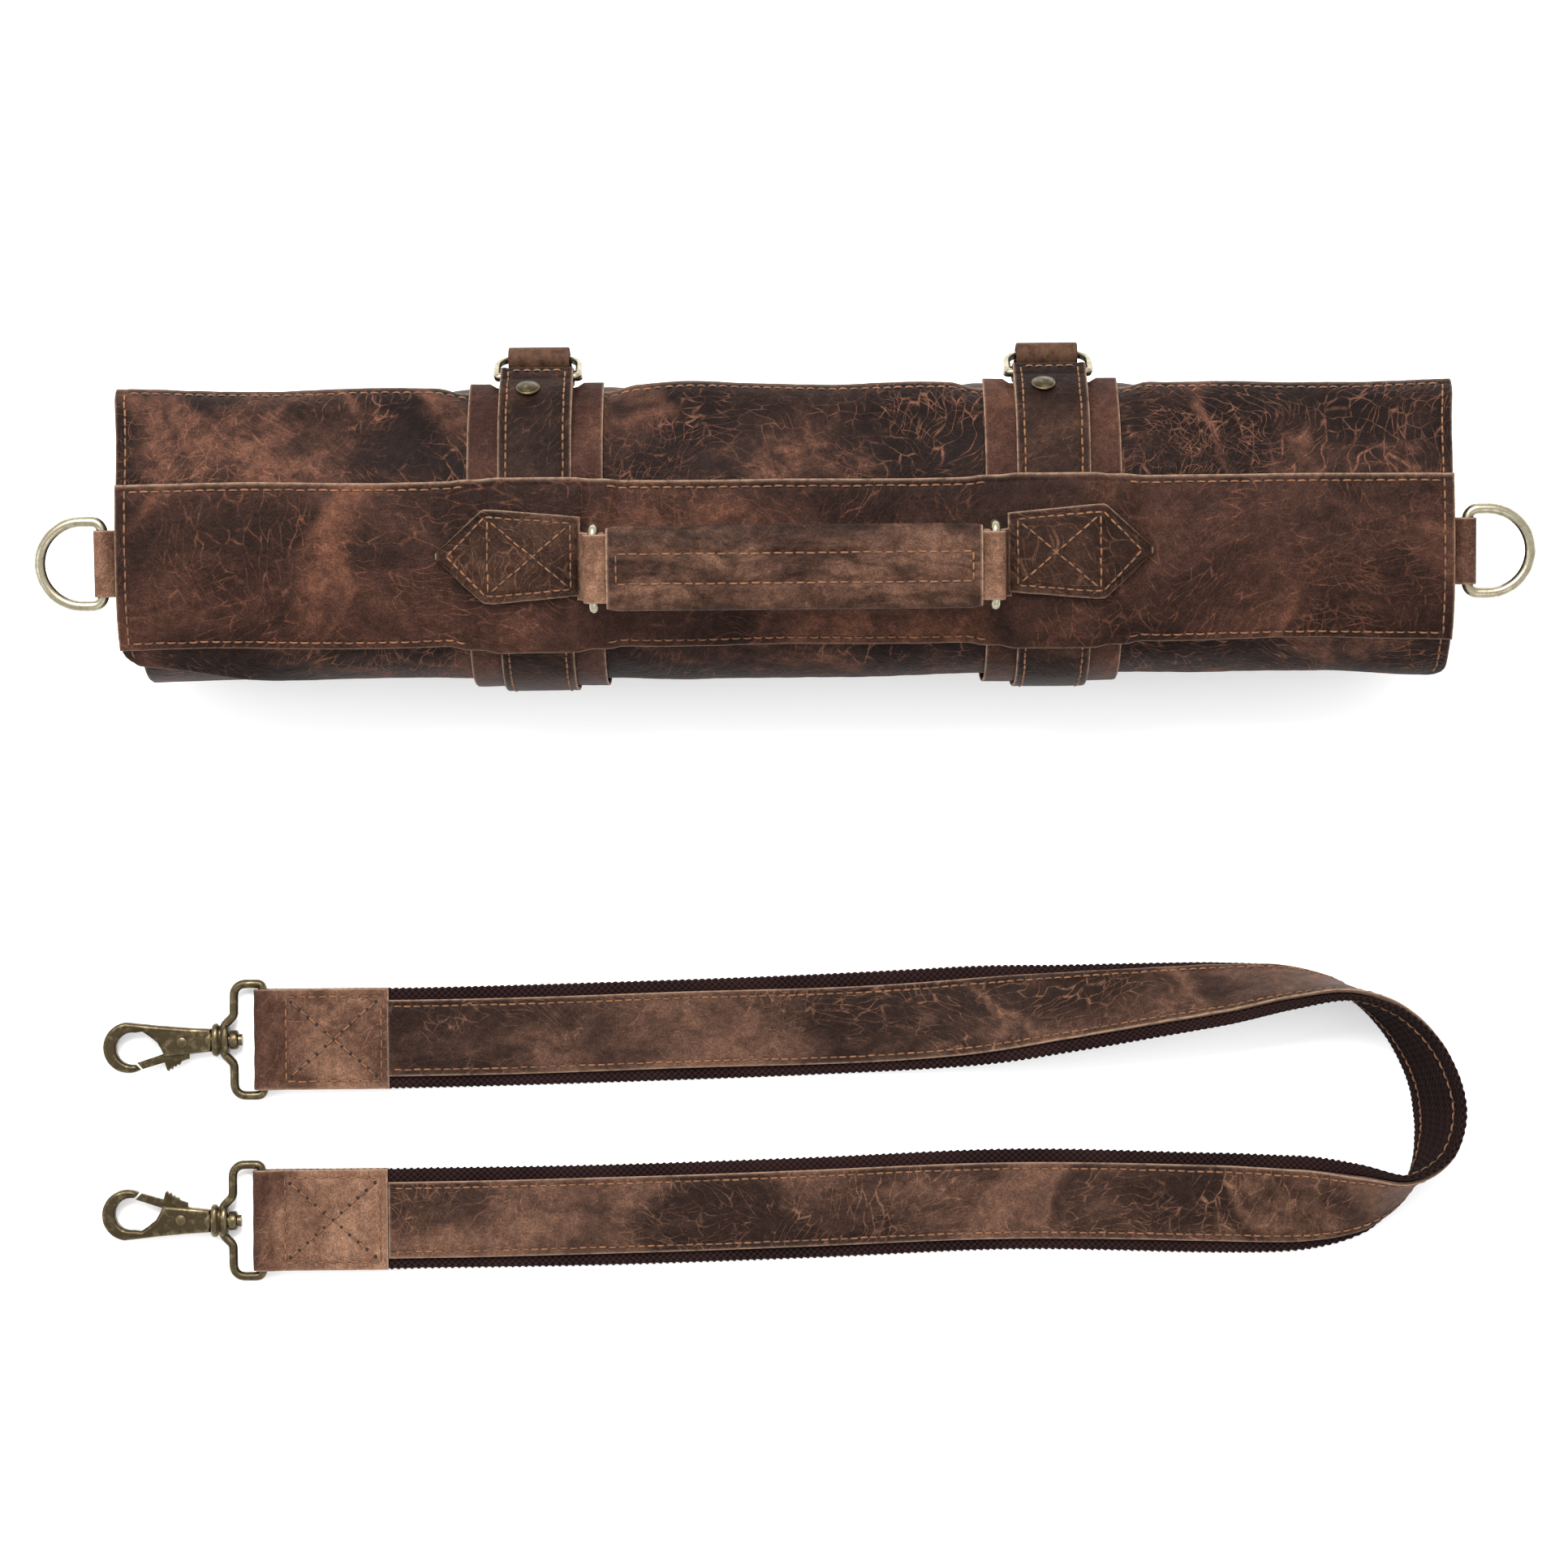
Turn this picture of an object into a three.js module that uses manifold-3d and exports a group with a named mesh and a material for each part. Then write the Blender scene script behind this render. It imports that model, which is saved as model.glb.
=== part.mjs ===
// A rolled leather brush case with a carry handle, two ring-and-tail closures, a D-ring at each
// end, and a detachable shoulder strap with two swivel snap hooks, laid flat in front of it.
// Units are millimetres. +X runs along the roll, +Z is up, and the strap lies on the -Y side.
import * as THREE from 'three';
import { mergeVertices } from 'three/addons/utils/BufferGeometryUtils.js';
import Module from 'manifold-3d';

// ---- driving dimensions ----
const CLEARANCE = 0.3;

// the roll: a soft square-shouldered oval, flattened where it lies on its straps
const ROLL_LENGTH = 472;
const ROLL_Y = 103.6;
const ROLL_HALF_WIDTH = 53;
const ROLL_HALF_HEIGHT = 44;
const ROLL_SQUARENESS = 2.6;
const ROLL_FLAT = 2;
const COVER_THICKNESS = 2.6;
const LINING_THICKNESS = 0.8;
const POCKET_THICKNESS = 1.2;
const FLAP_THICKNESS = 1.2;
const FREE_EDGE = 168;
const FREE_CORNER_ALONG = 8;
const FREE_CORNER_ROUND = 10;
const FREE_CORNER_SPAN = 14;
const FREE_CORNER_STEP = 1.75;
const INNER_TURN_STARTS = -148;
const INNER_TURN_REACHED = -188;
const COVER_ENDS = -382;
const WRAP_STEP = 7;

// what is sewn round the outside of the roll
const BACKING_THICKNESS = 1.2;
const BACKING_WIDTH = 48;
const BACKING_TOP = 22;
const BACKING_TAIL = 250;
const STRAP_THICKNESS = 1.5;
const CLOSURE_STRAP_WIDTH = 26;
const CLOSURE_X = [-88, 95];
const BAND_THICKNESS = 2;
const BAND_UPPER = 78;
const BAND_LOWER = 134;

// ring-and-tail closure, on the +Y side
const RING_WIRE = 1.3;
const CLOSURE_RING_SPAN = 32;
const CLOSURE_RING_REACH = 14;
const CLOSURE_RING_CORNER = 1.6;
const CLOSURE_RING_BOW = 6;
const RING_BAR_SPACING = 5.2;
const RING_BAR_HEIGHT = 61;
const RING_BAR_OUT = 55.6;
const TAIL_THICKNESS = 1.4;
const TAIL_WIDTH = 22;

// carry handle, which stands on the band
const HANDLE_X = 3.2;
const HANDLE_Y = -14;
const HANDLE_SEAT_Z = 94.6;
const HANDLE_TILT = 7;
const HANDLE_BAR_X = 70;
const HANDLE_RING_WIRE = 1.7;
const HANDLE_RING_SPAN = 31.2;
const HANDLE_RING_CORNER = 2.2;
const HANDLE_LINK = 10;
const HANDLE_BAR_HEIGHT = 4.1;
const LOOP_THICKNESS = 1.6;
const LOOP_WIDTH = 24;
const GRIP_END_GAP = 4.6;
const GRIP_WIDTH = 29.7;
const GRIP_THICKNESS = 8.4;
const CORE_THICKNESS = 2.4;
const CORE_STOP = 0.4;
const GRIP_CORNER = 3;
const PATCH_THICKNESS = 2;

// D-rings at the ends of the band
const D_WIRE = 1.9;
const D_SPAN = 33.6;
const D_REACH = 22.4;
const D_TAB_WIDTH = 23.6;
const D_Y = -11;

// shoulder strap
const WEBBING_WIDTH = 38;
const WEBBING_THICKNESS = 2.2;
const STRAP_LEATHER_WIDTH = 28.5;
const STRAP_LEATHER_THICKNESS = 1.6;
const END_PATCH_LENGTH = 49;
const END_PATCH_WIDTH = 37.6;
const END_PATCH_THICKNESS = 1.5;

// swivel snap hooks
const HOOK_AXIS_HEIGHT = 4.4;
const SWIVEL_WIRE = 1.65;
const SWIVEL_SPAN = 45;
const SWIVEL_REACH = 19;
const SWIVEL_SHOULDER = 10.9;
const SWIVEL_NECK = 14.6;
const SWIVEL_SLANT = [9, 5.4];
const SWIVEL_CORNER = 4;
const SWIVEL_BAR_CORNER = 1.6;
const COLLAR_LENGTH = 6.2;
const COLLAR_WIDTH = 12.5;
const COLLAR_HEIGHT = 8;
const HOOK_THICKNESS = 5;
const GATE_PIN_RADIUS = 1.5;
const GATE_THICKNESS = 2;

const wasm = await Module();
wasm.setup();

// ---- geometry helpers ----
const ALONG_X = new THREE.Matrix4().makeBasis(
  new THREE.Vector3(0, 1, 0), new THREE.Vector3(0, 0, 1), new THREE.Vector3(1, 0, 0));
const ALONG_Y = new THREE.Matrix4().makeBasis(
  new THREE.Vector3(1, 0, 0), new THREE.Vector3(0, 0, 1), new THREE.Vector3(0, -1, 0));

function toSolid(geometry) {
  const bare = geometry.clone();
  bare.deleteAttribute('normal');
  bare.deleteAttribute('uv');
  const merged = mergeVertices(bare, 1e-4);
  return new wasm.Manifold(new wasm.Mesh({
    numProp: 3,
    vertProperties: new Float32Array(merged.attributes.position.array),
    triVerts: new Uint32Array(merged.index.array),
  }));
}

function toGeometry(solid) {
  const mesh = solid.getMesh();
  const geometry = new THREE.BufferGeometry();
  geometry.setAttribute('position', new THREE.BufferAttribute(mesh.vertProperties, 3));
  geometry.setIndex(new THREE.BufferAttribute(mesh.triVerts, 1));
  geometry.computeVertexNormals();
  return geometry;
}

function join(first, ...others) {
  return toGeometry(others.reduce((solid, other) => solid.add(toSolid(other)), toSolid(first)));
}

function cut(first, ...others) {
  return toGeometry(others.reduce((solid, other) => solid.subtract(toSolid(other)), toSolid(first)));
}

function meet(first, second) {
  return toGeometry(toSolid(first).intersect(toSolid(second)));
}

function extrude(shape, length, steps = 1) {
  return new THREE.ExtrudeGeometry(shape, {
    depth: length, steps, bevelEnabled: false, curveSegments: 10,
  });
}

// a profile drawn in Y and Z, run along X from one x to another
function runAlongX(shape, fromX, toX) {
  return extrude(shape, toX - fromX).applyMatrix4(ALONG_X).translate(fromX, 0, 0);
}

// a profile drawn in X and Z, run along Y, centred on a y
function runAlongY(shape, width, y = 0) {
  return extrude(shape, width).applyMatrix4(ALONG_Y).translate(0, y + width / 2, 0);
}

// a profile drawn in X and Y, raised from one z to another
function runUp(shape, fromZ, toZ) {
  return extrude(shape, toZ - fromZ).translate(0, 0, fromZ);
}

function polygon(points) {
  return new THREE.Shape(points.map(([x, y]) => new THREE.Vector2(x, y)));
}

// the closed outline of a sheet of one thickness that follows a path of its middle line
function sheetShape(path, thickness) {
  const half = thickness / 2;
  const left = [];
  const right = [];
  path.forEach((point, i) => {
    const before = path[Math.max(i - 1, 0)];
    const after = path[Math.min(i + 1, path.length - 1)];
    const side = after.clone().sub(before).normalize();
    side.set(-side.y, side.x).multiplyScalar(half);
    left.push(point.clone().add(side));
    right.push(point.clone().sub(side));
  });
  return new THREE.Shape([...left, ...right.reverse()]);
}

// a smooth curve through hand-set corners of a sheet's middle line
function smoothPath(corners, count) {
  const knots = corners.map(([y, z]) => new THREE.Vector2(y, z));
  return new THREE.SplineCurve(knots).getPoints(count);
}

// a flat closed loop, for wire rings
class FlatLoop extends THREE.Curve {
  constructor(path) {
    super();
    this.path = path;
  }

  getPoint(t, target = new THREE.Vector3()) {
    const point = this.path.getPointAt(t % 1);
    return target.set(point.x, point.y, 0);
  }
}

function wireLoop(path, radius, steps, sides = 8) {
  return new THREE.TubeGeometry(new FlatLoop(path), steps, radius, sides, true);
}

// a closed loop with a straight bar on y = 0 and its far side at y = depth
function ringPath(width, depth, nearCorner, farCorner) {
  const x = width / 2;
  const quarter = Math.PI / 2;
  const path = new THREE.Path();
  path.moveTo(0, 0);
  path.lineTo(x - nearCorner, 0);
  path.absarc(x - nearCorner, nearCorner, nearCorner, -quarter, 0);
  path.lineTo(x, depth - farCorner);
  path.absarc(x - farCorner, depth - farCorner, farCorner, 0, quarter);
  path.lineTo(farCorner - x, depth);
  path.absarc(farCorner - x, depth - farCorner, farCorner, quarter, 2 * quarter);
  path.lineTo(-x, nearCorner);
  path.absarc(nearCorner - x, nearCorner, nearCorner, 2 * quarter, 3 * quarter);
  path.lineTo(0, 0);
  return path;
}

// ---- materials and the scene graph ----
const finishes = {
  cover_leather: { color: 0x46302a, roughness: 0.62, metalness: 0 },
  band_leather: { color: 0x553428, roughness: 0.6, metalness: 0 },
  strap_leather: { color: 0x785848, roughness: 0.6, metalness: 0 },
  closure_leather: { color: 0x5e3e31, roughness: 0.6, metalness: 0 },
  canvas: { color: 0x4a3c30, roughness: 0.9, metalness: 0 },
  webbing: { color: 0x2d1e1e, roughness: 0.95, metalness: 0 },
  ring_brass: { color: 0xbeb491, roughness: 0.32, metalness: 1 },
  hook_brass: { color: 0x6e5c3e, roughness: 0.42, metalness: 1 },
};

const group = new THREE.Group();

function addPart(name, finish, geometry, parent = group) {
  const mesh = new THREE.Mesh(geometry, new THREE.MeshStandardMaterial(finishes[finish]));
  mesh.name = name;
  parent.add(mesh);
  return mesh;
}

function frameAt(x, y, z, rotation = [0, 0, 0]) {
  const frame = new THREE.Group();
  frame.position.set(x, y, z);
  frame.rotation.set(...rotation);
  frame.updateMatrix();
  group.add(frame);
  return frame;
}

// ---- the section of the roll ----
const STRAP_STACK = BACKING_THICKNESS + STRAP_THICKNESS + 2 * CLEARANCE;
const ROLL_Z = ROLL_HALF_HEIGHT - ROLL_FLAT + STRAP_STACK;
const TURN_PITCH = COVER_THICKNESS + LINING_THICKNESS + POCKET_THICKNESS + 4 * CLEARANCE;
const HALF_LENGTH = ROLL_LENGTH / 2;

// a point on the roll's outline, or on a line a set distance outside it
function outlinePoint(offset, degrees) {
  const angle = THREE.MathUtils.degToRad(degrees);
  const power = 2 / ROLL_SQUARENESS;
  const across = Math.sign(Math.cos(angle)) * Math.abs(Math.cos(angle)) ** power;
  const up = Math.sign(Math.sin(angle)) * Math.abs(Math.sin(angle)) ** power;
  const halfHeight = ROLL_HALF_HEIGHT + offset;
  return new THREE.Vector2(
    ROLL_Y + (ROLL_HALF_WIDTH + offset) * across,
    ROLL_Z + Math.max(halfHeight * up, ROLL_FLAT - halfHeight));
}

function wrapPath(from, to, offsetAt, step = WRAP_STEP) {
  const count = Math.ceil(Math.abs(to - from) / step);
  return Array.from({ length: count + 1 }, (_, i) => {
    const degrees = from + (to - from) * i / count;
    return outlinePoint(offsetAt(degrees), degrees);
  });
}

// a sheet that lies on the outline from one offset to another
function wrapSheet(from, to, innerOffset, outerOffset, fromX, toX) {
  const middle = (innerOffset + outerOffset) / 2;
  const shape = sheetShape(wrapPath(from, to, () => middle), outerOffset - innerOffset);
  return runAlongX(shape, fromX, toX);
}

// how far the spiral has stepped inward: nothing round the outer turn, one pitch after it
function spiralStep(degrees) {
  const passed = (INNER_TURN_STARTS - degrees) / (INNER_TURN_STARTS - INNER_TURN_REACHED);
  return -TURN_PITCH * THREE.MathUtils.smoothstep(passed, 0, 1);
}

// a sheet along a path in Y and Z, whose half length in X changes along the path
function taperedSheet(path, thickness, reachAt) {
  const outline = sheetShape(path, thickness).getPoints();
  const vertices = [];
  const indices = [];
  let distance = 0;
  path.forEach((point, i) => {
    distance += i > 0 ? point.distanceTo(path[i - 1]) : 0;
    const reach = reachAt(distance);
    const [left, right] = [outline[i], outline[2 * path.length - 1 - i]];
    vertices.push(-reach, left.x, left.y, reach, left.x, left.y);
    vertices.push(reach, right.x, right.y, -reach, right.x, right.y);
  });
  for (let i = 0; i < path.length - 1; i += 1) {
    for (let k = 0; k < 4; k += 1) {
      const a = 4 * i + k;
      const b = 4 * i + (k + 1) % 4;
      indices.push(a, b, a + 4, b, b + 4, a + 4);
    }
  }
  const last = 4 * (path.length - 1);
  indices.push(0, 2, 1, 0, 3, 2, last, last + 1, last + 2, last, last + 2, last + 3);
  const geometry = new THREE.BufferGeometry();
  geometry.setAttribute('position', new THREE.Float32BufferAttribute(vertices, 3));
  geometry.setIndex(indices);
  geometry.computeVertexNormals();
  return geometry;
}

// one layer of the rolled stack, its outer face a set depth under the cover's outer face
function rolledLayer(depth, thickness, from, to, length) {
  const path = wrapPath(from, to, (degrees) => spiralStep(degrees) - depth - thickness / 2);
  return taperedSheet(path, thickness, () => length / 2);
}

// ---- cover, lining, pockets and flap ----
const LINING_DEPTH = COVER_THICKNESS + CLEARANCE;
const POCKET_DEPTH = LINING_DEPTH + LINING_THICKNESS + CLEARANCE;
const FLAP_DEPTH = POCKET_DEPTH + POCKET_THICKNESS + CLEARANCE;
const SEAM_MARGIN = 14;

// the cover's half length at a distance from its free edge, whose corners are rounded
function coverReach(distance) {
  const run = Math.max(1 - distance / FREE_CORNER_ROUND, 0);
  return HALF_LENGTH - FREE_CORNER_ALONG * (1 - Math.sqrt(1 - run * run));
}

const coverOffset = (degrees) => spiralStep(degrees) - COVER_THICKNESS / 2;
const coverPath = [
  ...wrapPath(FREE_EDGE, FREE_EDGE - FREE_CORNER_SPAN, coverOffset, FREE_CORNER_STEP),
  ...wrapPath(FREE_EDGE - FREE_CORNER_SPAN, COVER_ENDS, coverOffset).slice(1),
];
addPart('outer_cover', 'cover_leather', taperedSheet(coverPath, COVER_THICKNESS, coverReach));
addPart('canvas_lining', 'canvas',
  rolledLayer(LINING_DEPTH, LINING_THICKNESS, FREE_EDGE - 3, COVER_ENDS + 2,
    ROLL_LENGTH - 2 * SEAM_MARGIN));
addPart('pocket_panel', 'closure_leather',
  rolledLayer(POCKET_DEPTH, POCKET_THICKNESS, FREE_EDGE - 8, COVER_ENDS + 6,
    ROLL_LENGTH - 3 * SEAM_MARGIN));
addPart('inner_flap', 'cover_leather',
  rolledLayer(FLAP_DEPTH, FLAP_THICKNESS, -170, COVER_ENDS + 12, ROLL_LENGTH - 4 * SEAM_MARGIN));

// ---- closure backings, and the band that bridges them ----
const sides = ['left', 'right'];
const BRIDGE_INNER = STRAP_STACK + CLEARANCE;
const BRIDGE_OUTER = BRIDGE_INNER + BAND_THICKNESS;
const TUNNEL_WIDTH = BACKING_WIDTH + 4 * CLEARANCE;
const TUNNEL_OVERRUN = 20;

CLOSURE_X.forEach((x, i) => {
  addPart(`closure_backing_${sides[i]}`, 'closure_leather',
    wrapSheet(BACKING_TOP, BACKING_TAIL, CLEARANCE, CLEARANCE + BACKING_THICKNESS,
      x - BACKING_WIDTH / 2, x + BACKING_WIDTH / 2));
});

const flatBand = wrapSheet(BAND_UPPER, BAND_LOWER, CLEARANCE, CLEARANCE + BAND_THICKNESS,
  -HALF_LENGTH, HALF_LENGTH);
const bridgeHalf = TUNNEL_WIDTH / 2 + BAND_THICKNESS;
const bridges = CLOSURE_X.map((x) => wrapSheet(BAND_UPPER, BAND_LOWER, CLEARANCE, BRIDGE_OUTER,
  x - bridgeHalf, x + bridgeHalf));
const tunnels = CLOSURE_X.map((x) => wrapSheet(BAND_UPPER - TUNNEL_OVERRUN,
  BAND_LOWER + TUNNEL_OVERRUN, -1, BRIDGE_INNER,
  x - TUNNEL_WIDTH / 2, x + TUNNEL_WIDTH / 2));
addPart('handle_band', 'band_leather', cut(join(flatBand, ...bridges), ...tunnels));

// ---- closures: strap, two rings in its fold, the tail threaded through them, and a rivet ----
const strapMiddle = STRAP_STACK - STRAP_THICKNESS / 2;
const foldRadius = RING_WIRE + 1.5 * CLEARANCE + STRAP_THICKNESS / 2;
const barY = ROLL_Y + RING_BAR_OUT;
const upperBarZ = RING_BAR_HEIGHT + RING_BAR_SPACING;

function closureStrapPath() {
  const returnLeaf = [52, 44, 36, 28].map((degrees) => outlinePoint(strapMiddle, degrees));
  const inside = [new THREE.Vector2(barY - foldRadius, upperBarZ)];
  const fold = Array.from({ length: 9 }, (_, i) => {
    const angle = Math.PI * (1 + i / 8);
    return new THREE.Vector2(
      barY + foldRadius * Math.cos(angle), RING_BAR_HEIGHT + foldRadius * Math.sin(angle));
  });
  const outside = [
    new THREE.Vector2(barY + foldRadius, upperBarZ),
    new THREE.Vector2(barY + foldRadius - 0.4, upperBarZ + 2.2),
  ];
  const overLeaf = [[26, 6], [32, 5.4], [38, 4.9], [44, 4.5], [52, 4.5], [60, 3.9], [67, 3]]
    .map(([degrees, offset]) => outlinePoint(offset, degrees));
  const round = wrapPath(74, 286, () => strapMiddle);
  return [...returnLeaf, ...inside, ...fold, ...outside, ...overLeaf, ...round];
}

// the tail climbs the +Y side, turns out through both rings and hangs back down outside them
const tailCorners = [[54.1, 34], [54.6, 41], [55.4, 47], [57.2, 52.6], [59.9, 56.6], [63, 57.9],
  [65.7, 56.8], [66.7, 53.8], [65.6, 49], [62.8, 41], [60.2, 33], [58.6, 25]];

function tailPath() {
  const start = wrapPath(264, 338, () => CLEARANCE + TAIL_THICKNESS / 2);
  const climb = smoothPath(tailCorners.map(([y, z]) => [ROLL_Y + y, z]), 40);
  return [...start, ...climb];
}

const closureStrapShape = sheetShape(closureStrapPath(), STRAP_THICKNESS);
const tailShape = sheetShape(tailPath(), TAIL_THICKNESS);
const closureRings = [['upper', upperBarZ, 58], ['lower', RING_BAR_HEIGHT, 78]];

// the rivet goes down through the strap and its return leaf
const RIVET_ANGLE = 36;
const RIVET_OFF_CENTRE = -2.7;
const STRAP_MIDDLE_AT_RIVET = 5.1;
const RIVET_RADIUS = 4.3;
const RIVET_DOME = 1.1;
const RIVET_STEM = 0.8;
const RIVET_DEPTH = 3.6;
const rivetOffset = STRAP_MIDDLE_AT_RIVET + STRAP_THICKNESS / 2 + CLEARANCE;
const rivetSeat = outlinePoint(rivetOffset, RIVET_ANGLE);
const besideRivet = outlinePoint(rivetOffset, RIVET_ANGLE - 2);
const rivetLean = Math.atan2(rivetSeat.y - besideRivet.y, rivetSeat.x - besideRivet.x) - Math.PI;

// a low domed cap with its stem, the cap's under side on z = 0
function rivet() {
  const crown = Array.from({ length: 5 }, (_, i) => {
    const angle = Math.PI / 2 * (i / 4);
    return [RIVET_RADIUS * Math.cos(angle), 0.4 + RIVET_DOME * Math.sin(angle)];
  });
  crown[crown.length - 1][0] = 0;
  const profile = [[0, -RIVET_DEPTH], [RIVET_STEM, -RIVET_DEPTH], [RIVET_STEM, 0], [RIVET_RADIUS, 0],
    ...crown].map(([radius, height]) => new THREE.Vector2(radius, height));
  return new THREE.LatheGeometry(profile, 16).rotateX(Math.PI / 2);
}

CLOSURE_X.forEach((x, i) => {
  const side = sides[i];
  const strap = runAlongX(closureStrapShape, x - CLOSURE_STRAP_WIDTH / 2, x + CLOSURE_STRAP_WIDTH / 2);
  const rivetFrame = frameAt(x + RIVET_OFF_CENTRE, rivetSeat.x, rivetSeat.y, [rivetLean, 0, 0]);
  const rivetHole = new THREE.CylinderGeometry(RIVET_STEM + CLEARANCE, RIVET_STEM + CLEARANCE, 24, 12)
    .rotateX(Math.PI / 2).applyMatrix4(rivetFrame.matrix);
  addPart(`closure_strap_${side}`, 'strap_leather', cut(strap, rivetHole));
  addPart(`closure_rivet_${side}`, 'hook_brass', rivet(), rivetFrame);
  addPart(`closure_tail_${side}`, 'closure_leather',
    runAlongX(tailShape, x - TAIL_WIDTH / 2, x + TAIL_WIDTH / 2));
  closureRings.forEach(([level, barZ, droop]) => {
    const frame = frameAt(x, barY, barZ, [THREE.MathUtils.degToRad(-droop), 0, 0]);
    const path = ringPath(CLOSURE_RING_SPAN - 2 * RING_WIRE, CLOSURE_RING_REACH,
      CLOSURE_RING_CORNER, CLOSURE_RING_BOW);
    addPart(`closure_ring_${side}_${level}`, 'ring_brass', wireLoop(path, RING_WIRE, 34, 6), frame);
  });
});

// ---- carry handle ----
const handleFrame = frameAt(HANDLE_X, ROLL_Y + HANDLE_Y, HANDLE_SEAT_Z,
  [THREE.MathUtils.degToRad(HANDLE_TILT), 0, 0]);
const loopInner = HANDLE_RING_WIRE + 1.5 * CLEARANCE;
const loopOuter = loopInner + LOOP_THICKNESS;
const upperBarHeight = HANDLE_BAR_HEIGHT + HANDLE_LINK;

// a leather eye round a bar at (x, z), seen along Y
function eyeShape(x, z, outer, inner) {
  const shape = new THREE.Shape().absarc(x, z, outer, 0, 2 * Math.PI);
  shape.holes.push(new THREE.Path().absarc(x, z, inner, 0, 2 * Math.PI, true));
  return shape;
}

function slabShape(fromX, toX, low, high) {
  return polygon([[fromX, low], [toX, low], [toX, high], [fromX, high]]);
}

// pentagonal leather patch on the bridged band, ending in an eye round the ring's lower bar
const PATCH_Y = -10.4;
const PATCH_TIP = 56.5;
const PATCH_SHOULDER = 39.5;
const PATCH_EDGE = 5;
const PATCH_HALF_WIDE = 16.6;
const PATCH_HALF_NARROW = 13.6;
const PATCH_TAIL = 4;
const BLANK_SPAN = [60, 140];
const BLANK_REACH = 150;
const CUTTER_HEIGHTS = [70, 120];

function handlePatch(direction) {
  const barX = direction * HANDLE_BAR_X;
  const outline = polygon([
    [HANDLE_X + barX + direction * PATCH_EDGE, -PATCH_HALF_NARROW],
    [HANDLE_X + barX + direction * PATCH_SHOULDER, -PATCH_HALF_WIDE],
    [HANDLE_X + barX + direction * PATCH_TIP, 0],
    [HANDLE_X + barX + direction * PATCH_SHOULDER, PATCH_HALF_WIDE],
    [HANDLE_X + barX + direction * PATCH_EDGE, PATCH_HALF_NARROW],
  ]);
  const cutter = runUp(outline, ...CUTTER_HEIGHTS).translate(0, ROLL_Y + PATCH_Y, 0);
  const low = BRIDGE_OUTER + CLEARANCE;
  const blank = wrapSheet(...BLANK_SPAN, low, low + PATCH_THICKNESS,
    Math.min(0, direction * BLANK_REACH), Math.max(0, direction * BLANK_REACH));
  const tailEnd = barX + direction * (PATCH_EDGE + PATCH_TAIL);
  const tail = slabShape(Math.min(barX, tailEnd), Math.max(barX, tailEnd),
    CLEARANCE, CLEARANCE + LOOP_THICKNESS);
  const eye = join(
    runAlongY(eyeShape(barX, HANDLE_BAR_HEIGHT, loopOuter, loopInner), LOOP_WIDTH),
    runAlongY(tail, LOOP_WIDTH));
  return join(meet(blank, cutter), eye.applyMatrix4(handleFrame.matrix));
}

[-1, 1].forEach((direction, i) => {
  addPart(`handle_patch_${sides[i]}`, 'closure_leather', handlePatch(direction));
  const ring = wireLoop(
    ringPath(HANDLE_RING_SPAN - 2 * HANDLE_RING_WIRE, HANDLE_LINK,
      HANDLE_RING_CORNER, HANDLE_RING_CORNER), HANDLE_RING_WIRE, 34);
  ring.applyMatrix4(ALONG_X).translate(direction * HANDLE_BAR_X, 0, HANDLE_BAR_HEIGHT);
  addPart(`handle_ring_${sides[i]}`, 'ring_brass', ring, handleFrame);
});

const coreEyes = [-1, 1].map((direction) => runAlongY(
  eyeShape(direction * HANDLE_BAR_X, upperBarHeight, loopOuter, loopInner), LOOP_WIDTH));
const coreReach = HANDLE_BAR_X - loopInner - CORE_STOP;
const coreSlab = runAlongY(slabShape(-coreReach, coreReach,
  upperBarHeight - CORE_THICKNESS / 2, upperBarHeight + CORE_THICKNESS / 2), LOOP_WIDTH);
addPart('handle_core', 'strap_leather', join(coreSlab, ...coreEyes), handleFrame);

const gripSection = new THREE.Shape(
  ringPath(GRIP_WIDTH, GRIP_THICKNESS, GRIP_CORNER, GRIP_CORNER).getPoints(4).slice(0, -1));
const coreHole = slabShape(-LOOP_WIDTH / 2 - CLEARANCE, LOOP_WIDTH / 2 + CLEARANCE,
  (GRIP_THICKNESS - CORE_THICKNESS) / 2 - CLEARANCE, (GRIP_THICKNESS + CORE_THICKNESS) / 2 + CLEARANCE);
gripSection.holes.push(new THREE.Path(coreHole.getPoints().reverse()));
const gripReach = HANDLE_BAR_X - GRIP_END_GAP;
addPart('handle_grip', 'grip_leather',
  runAlongX(gripSection, -gripReach, gripReach)
    .translate(0, 0, upperBarHeight - GRIP_THICKNESS / 2), handleFrame);

// ---- end tabs and D-rings ----
const D_BAR_GAP = 5;
const D_HEIGHT = 39.2;
const D_TILT = 5.2;
const TAB_THICKNESS = 1.6;
const TAB_EYE_THICKNESS = 1.2;
const TAB_TAIL = 11;
const TAB_OVERLAP = 0.3;
const D_CORNER = 4;
const tabEyeInner = D_WIRE + 1.3 * CLEARANCE;

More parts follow.
